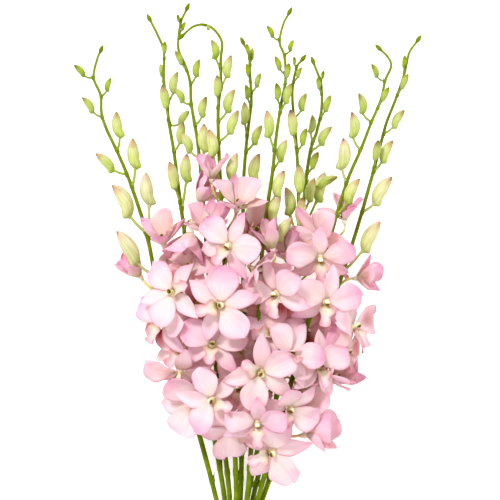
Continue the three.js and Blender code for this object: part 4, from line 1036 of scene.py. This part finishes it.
def make_band():
    """The elastic band: a rounded flat section, its sides a power 0.6 of a sine and a cosine, carried round
    the ten stems in two turns side by side. Each turn is a box with round corners."""
    low, high = (np.array(c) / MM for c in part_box("band"))
    middle, half = (low + high) / 2, (high - low) / 2
    form = Form()
    for shift in (-1, 1):
        t = np.linspace(0, 2 * np.pi, BAND_STEPS + 1)[:-1]
        flat_x, _, flat_z = half - BAND_INSET - BAND_CORNER
        x = middle[0] + np.sign(np.cos(t)) * flat_x + BAND_CORNER * np.cos(t)
        z = middle[2] + np.sign(np.sin(t)) * flat_z + BAND_CORNER * np.sin(t)
        a = np.linspace(0, 2 * np.pi, BAND_SIDES + 1)[:-1]
        flat = np.sign(np.cos(a)) * np.abs(np.cos(a)) ** 0.6 * BAND_HALF_WIDTH
        thick = np.sign(np.sin(a)) * np.abs(np.sin(a)) ** 0.6 * BAND_HALF_THICK
        ripple = 0.05 * np.sin(7 * t + shift)[:, None]
        px = x[:, None] + np.cos(t)[:, None] * (thick + ripple)
        pz = z[:, None] + np.sin(t)[:, None] * (thick + ripple)
        py = middle[1] + shift * BAND_APART + flat[None] + 0.12 * np.sin(3 * t)[:, None]
        points = np.stack([px, py, pz], -1).reshape(-1, 3)
        k = np.arange(BAND_STEPS * BAND_SIDES).reshape(BAND_STEPS, BAND_SIDES)
        right, ahead = np.roll(k, -1, axis=1), np.roll(k, -1, axis=0)
        faces = np.stack([k, ahead, np.roll(ahead, -1, axis=1), right], -1).reshape(-1, 4)
        maps = np.stack(np.meshgrid(t / 6.283 * 10, a / 6.283, indexing="ij"), -1).reshape(-1, 2)
        form.add(points, maps, [faces], 0)
    piece = form.piece("band_rubber_ring", [band_finish()])
    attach(piece, "root")
    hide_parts("band")


def make_studio():
    """A pale table that glows a little, so that it stays white, a soft light from the upper left, a wide
    faint one from the other side, and even light all round."""
    mesh = bpy.data.meshes.new("table_top")
    mesh.from_pydata([(-3, -3, 0), (3, -3, 0), (3, 3, 0), (-3, 3, 0)], [], [(0, 1, 2, 3)])
    table = bpy.data.objects.new("table_top", mesh)
    bpy.context.scene.collection.objects.link(table)
    white = Finish("table_white", rough=0.9, specular=0.1)
    white.shader.inputs["Emission Color"].default_value = (1, 0.96, 0.94, 1)
    white.shader.inputs["Emission Strength"].default_value = 0.5
    mesh.materials.append(white.done(srgb(244, 244, 244)))
    world = bpy.data.worlds.new("studio")
    world.use_nodes = True
    world.node_tree.nodes["Background"].inputs["Color"].default_value = (1, 0.97, 0.965, 1)
    world.node_tree.nodes["Background"].inputs["Strength"].default_value = 0.83
    bpy.context.scene.world = world
    for name, power, angle, turn in (("key", 2.4, 12, (-28, -20, 0)), ("fill", 0.7, 80, (30, 25, 0))):
        lamp = bpy.data.lights.new(name, "SUN")
        lamp.energy, lamp.angle = power, math.radians(angle)
        light = bpy.data.objects.new(name, lamp)
        light.rotation_euler = [math.radians(a) for a in turn]
        bpy.context.scene.collection.objects.link(light)


def make_camera():
    """Straight above the bunch, from far off, so that the picture has its width at its own level."""
    camera = bpy.data.cameras.new("camera")
    camera.lens, camera.sensor_width = LENS, FILM
    camera.clip_end = 30
    spot = bpy.data.objects.new("camera", camera)
    away = PICTURE_WIDTH * LENS / FILM
    spot.location = np.array([PICTURE_X, PICTURE_Y, PICTURE_LEVEL + away]) * MM
    bpy.context.scene.collection.objects.link(spot)
    bpy.context.scene.camera = spot
    bpy.context.scene.view_settings.view_transform = "Standard"


make_camera()
make_studio()
make_sprays()
make_blooms()
make_band()
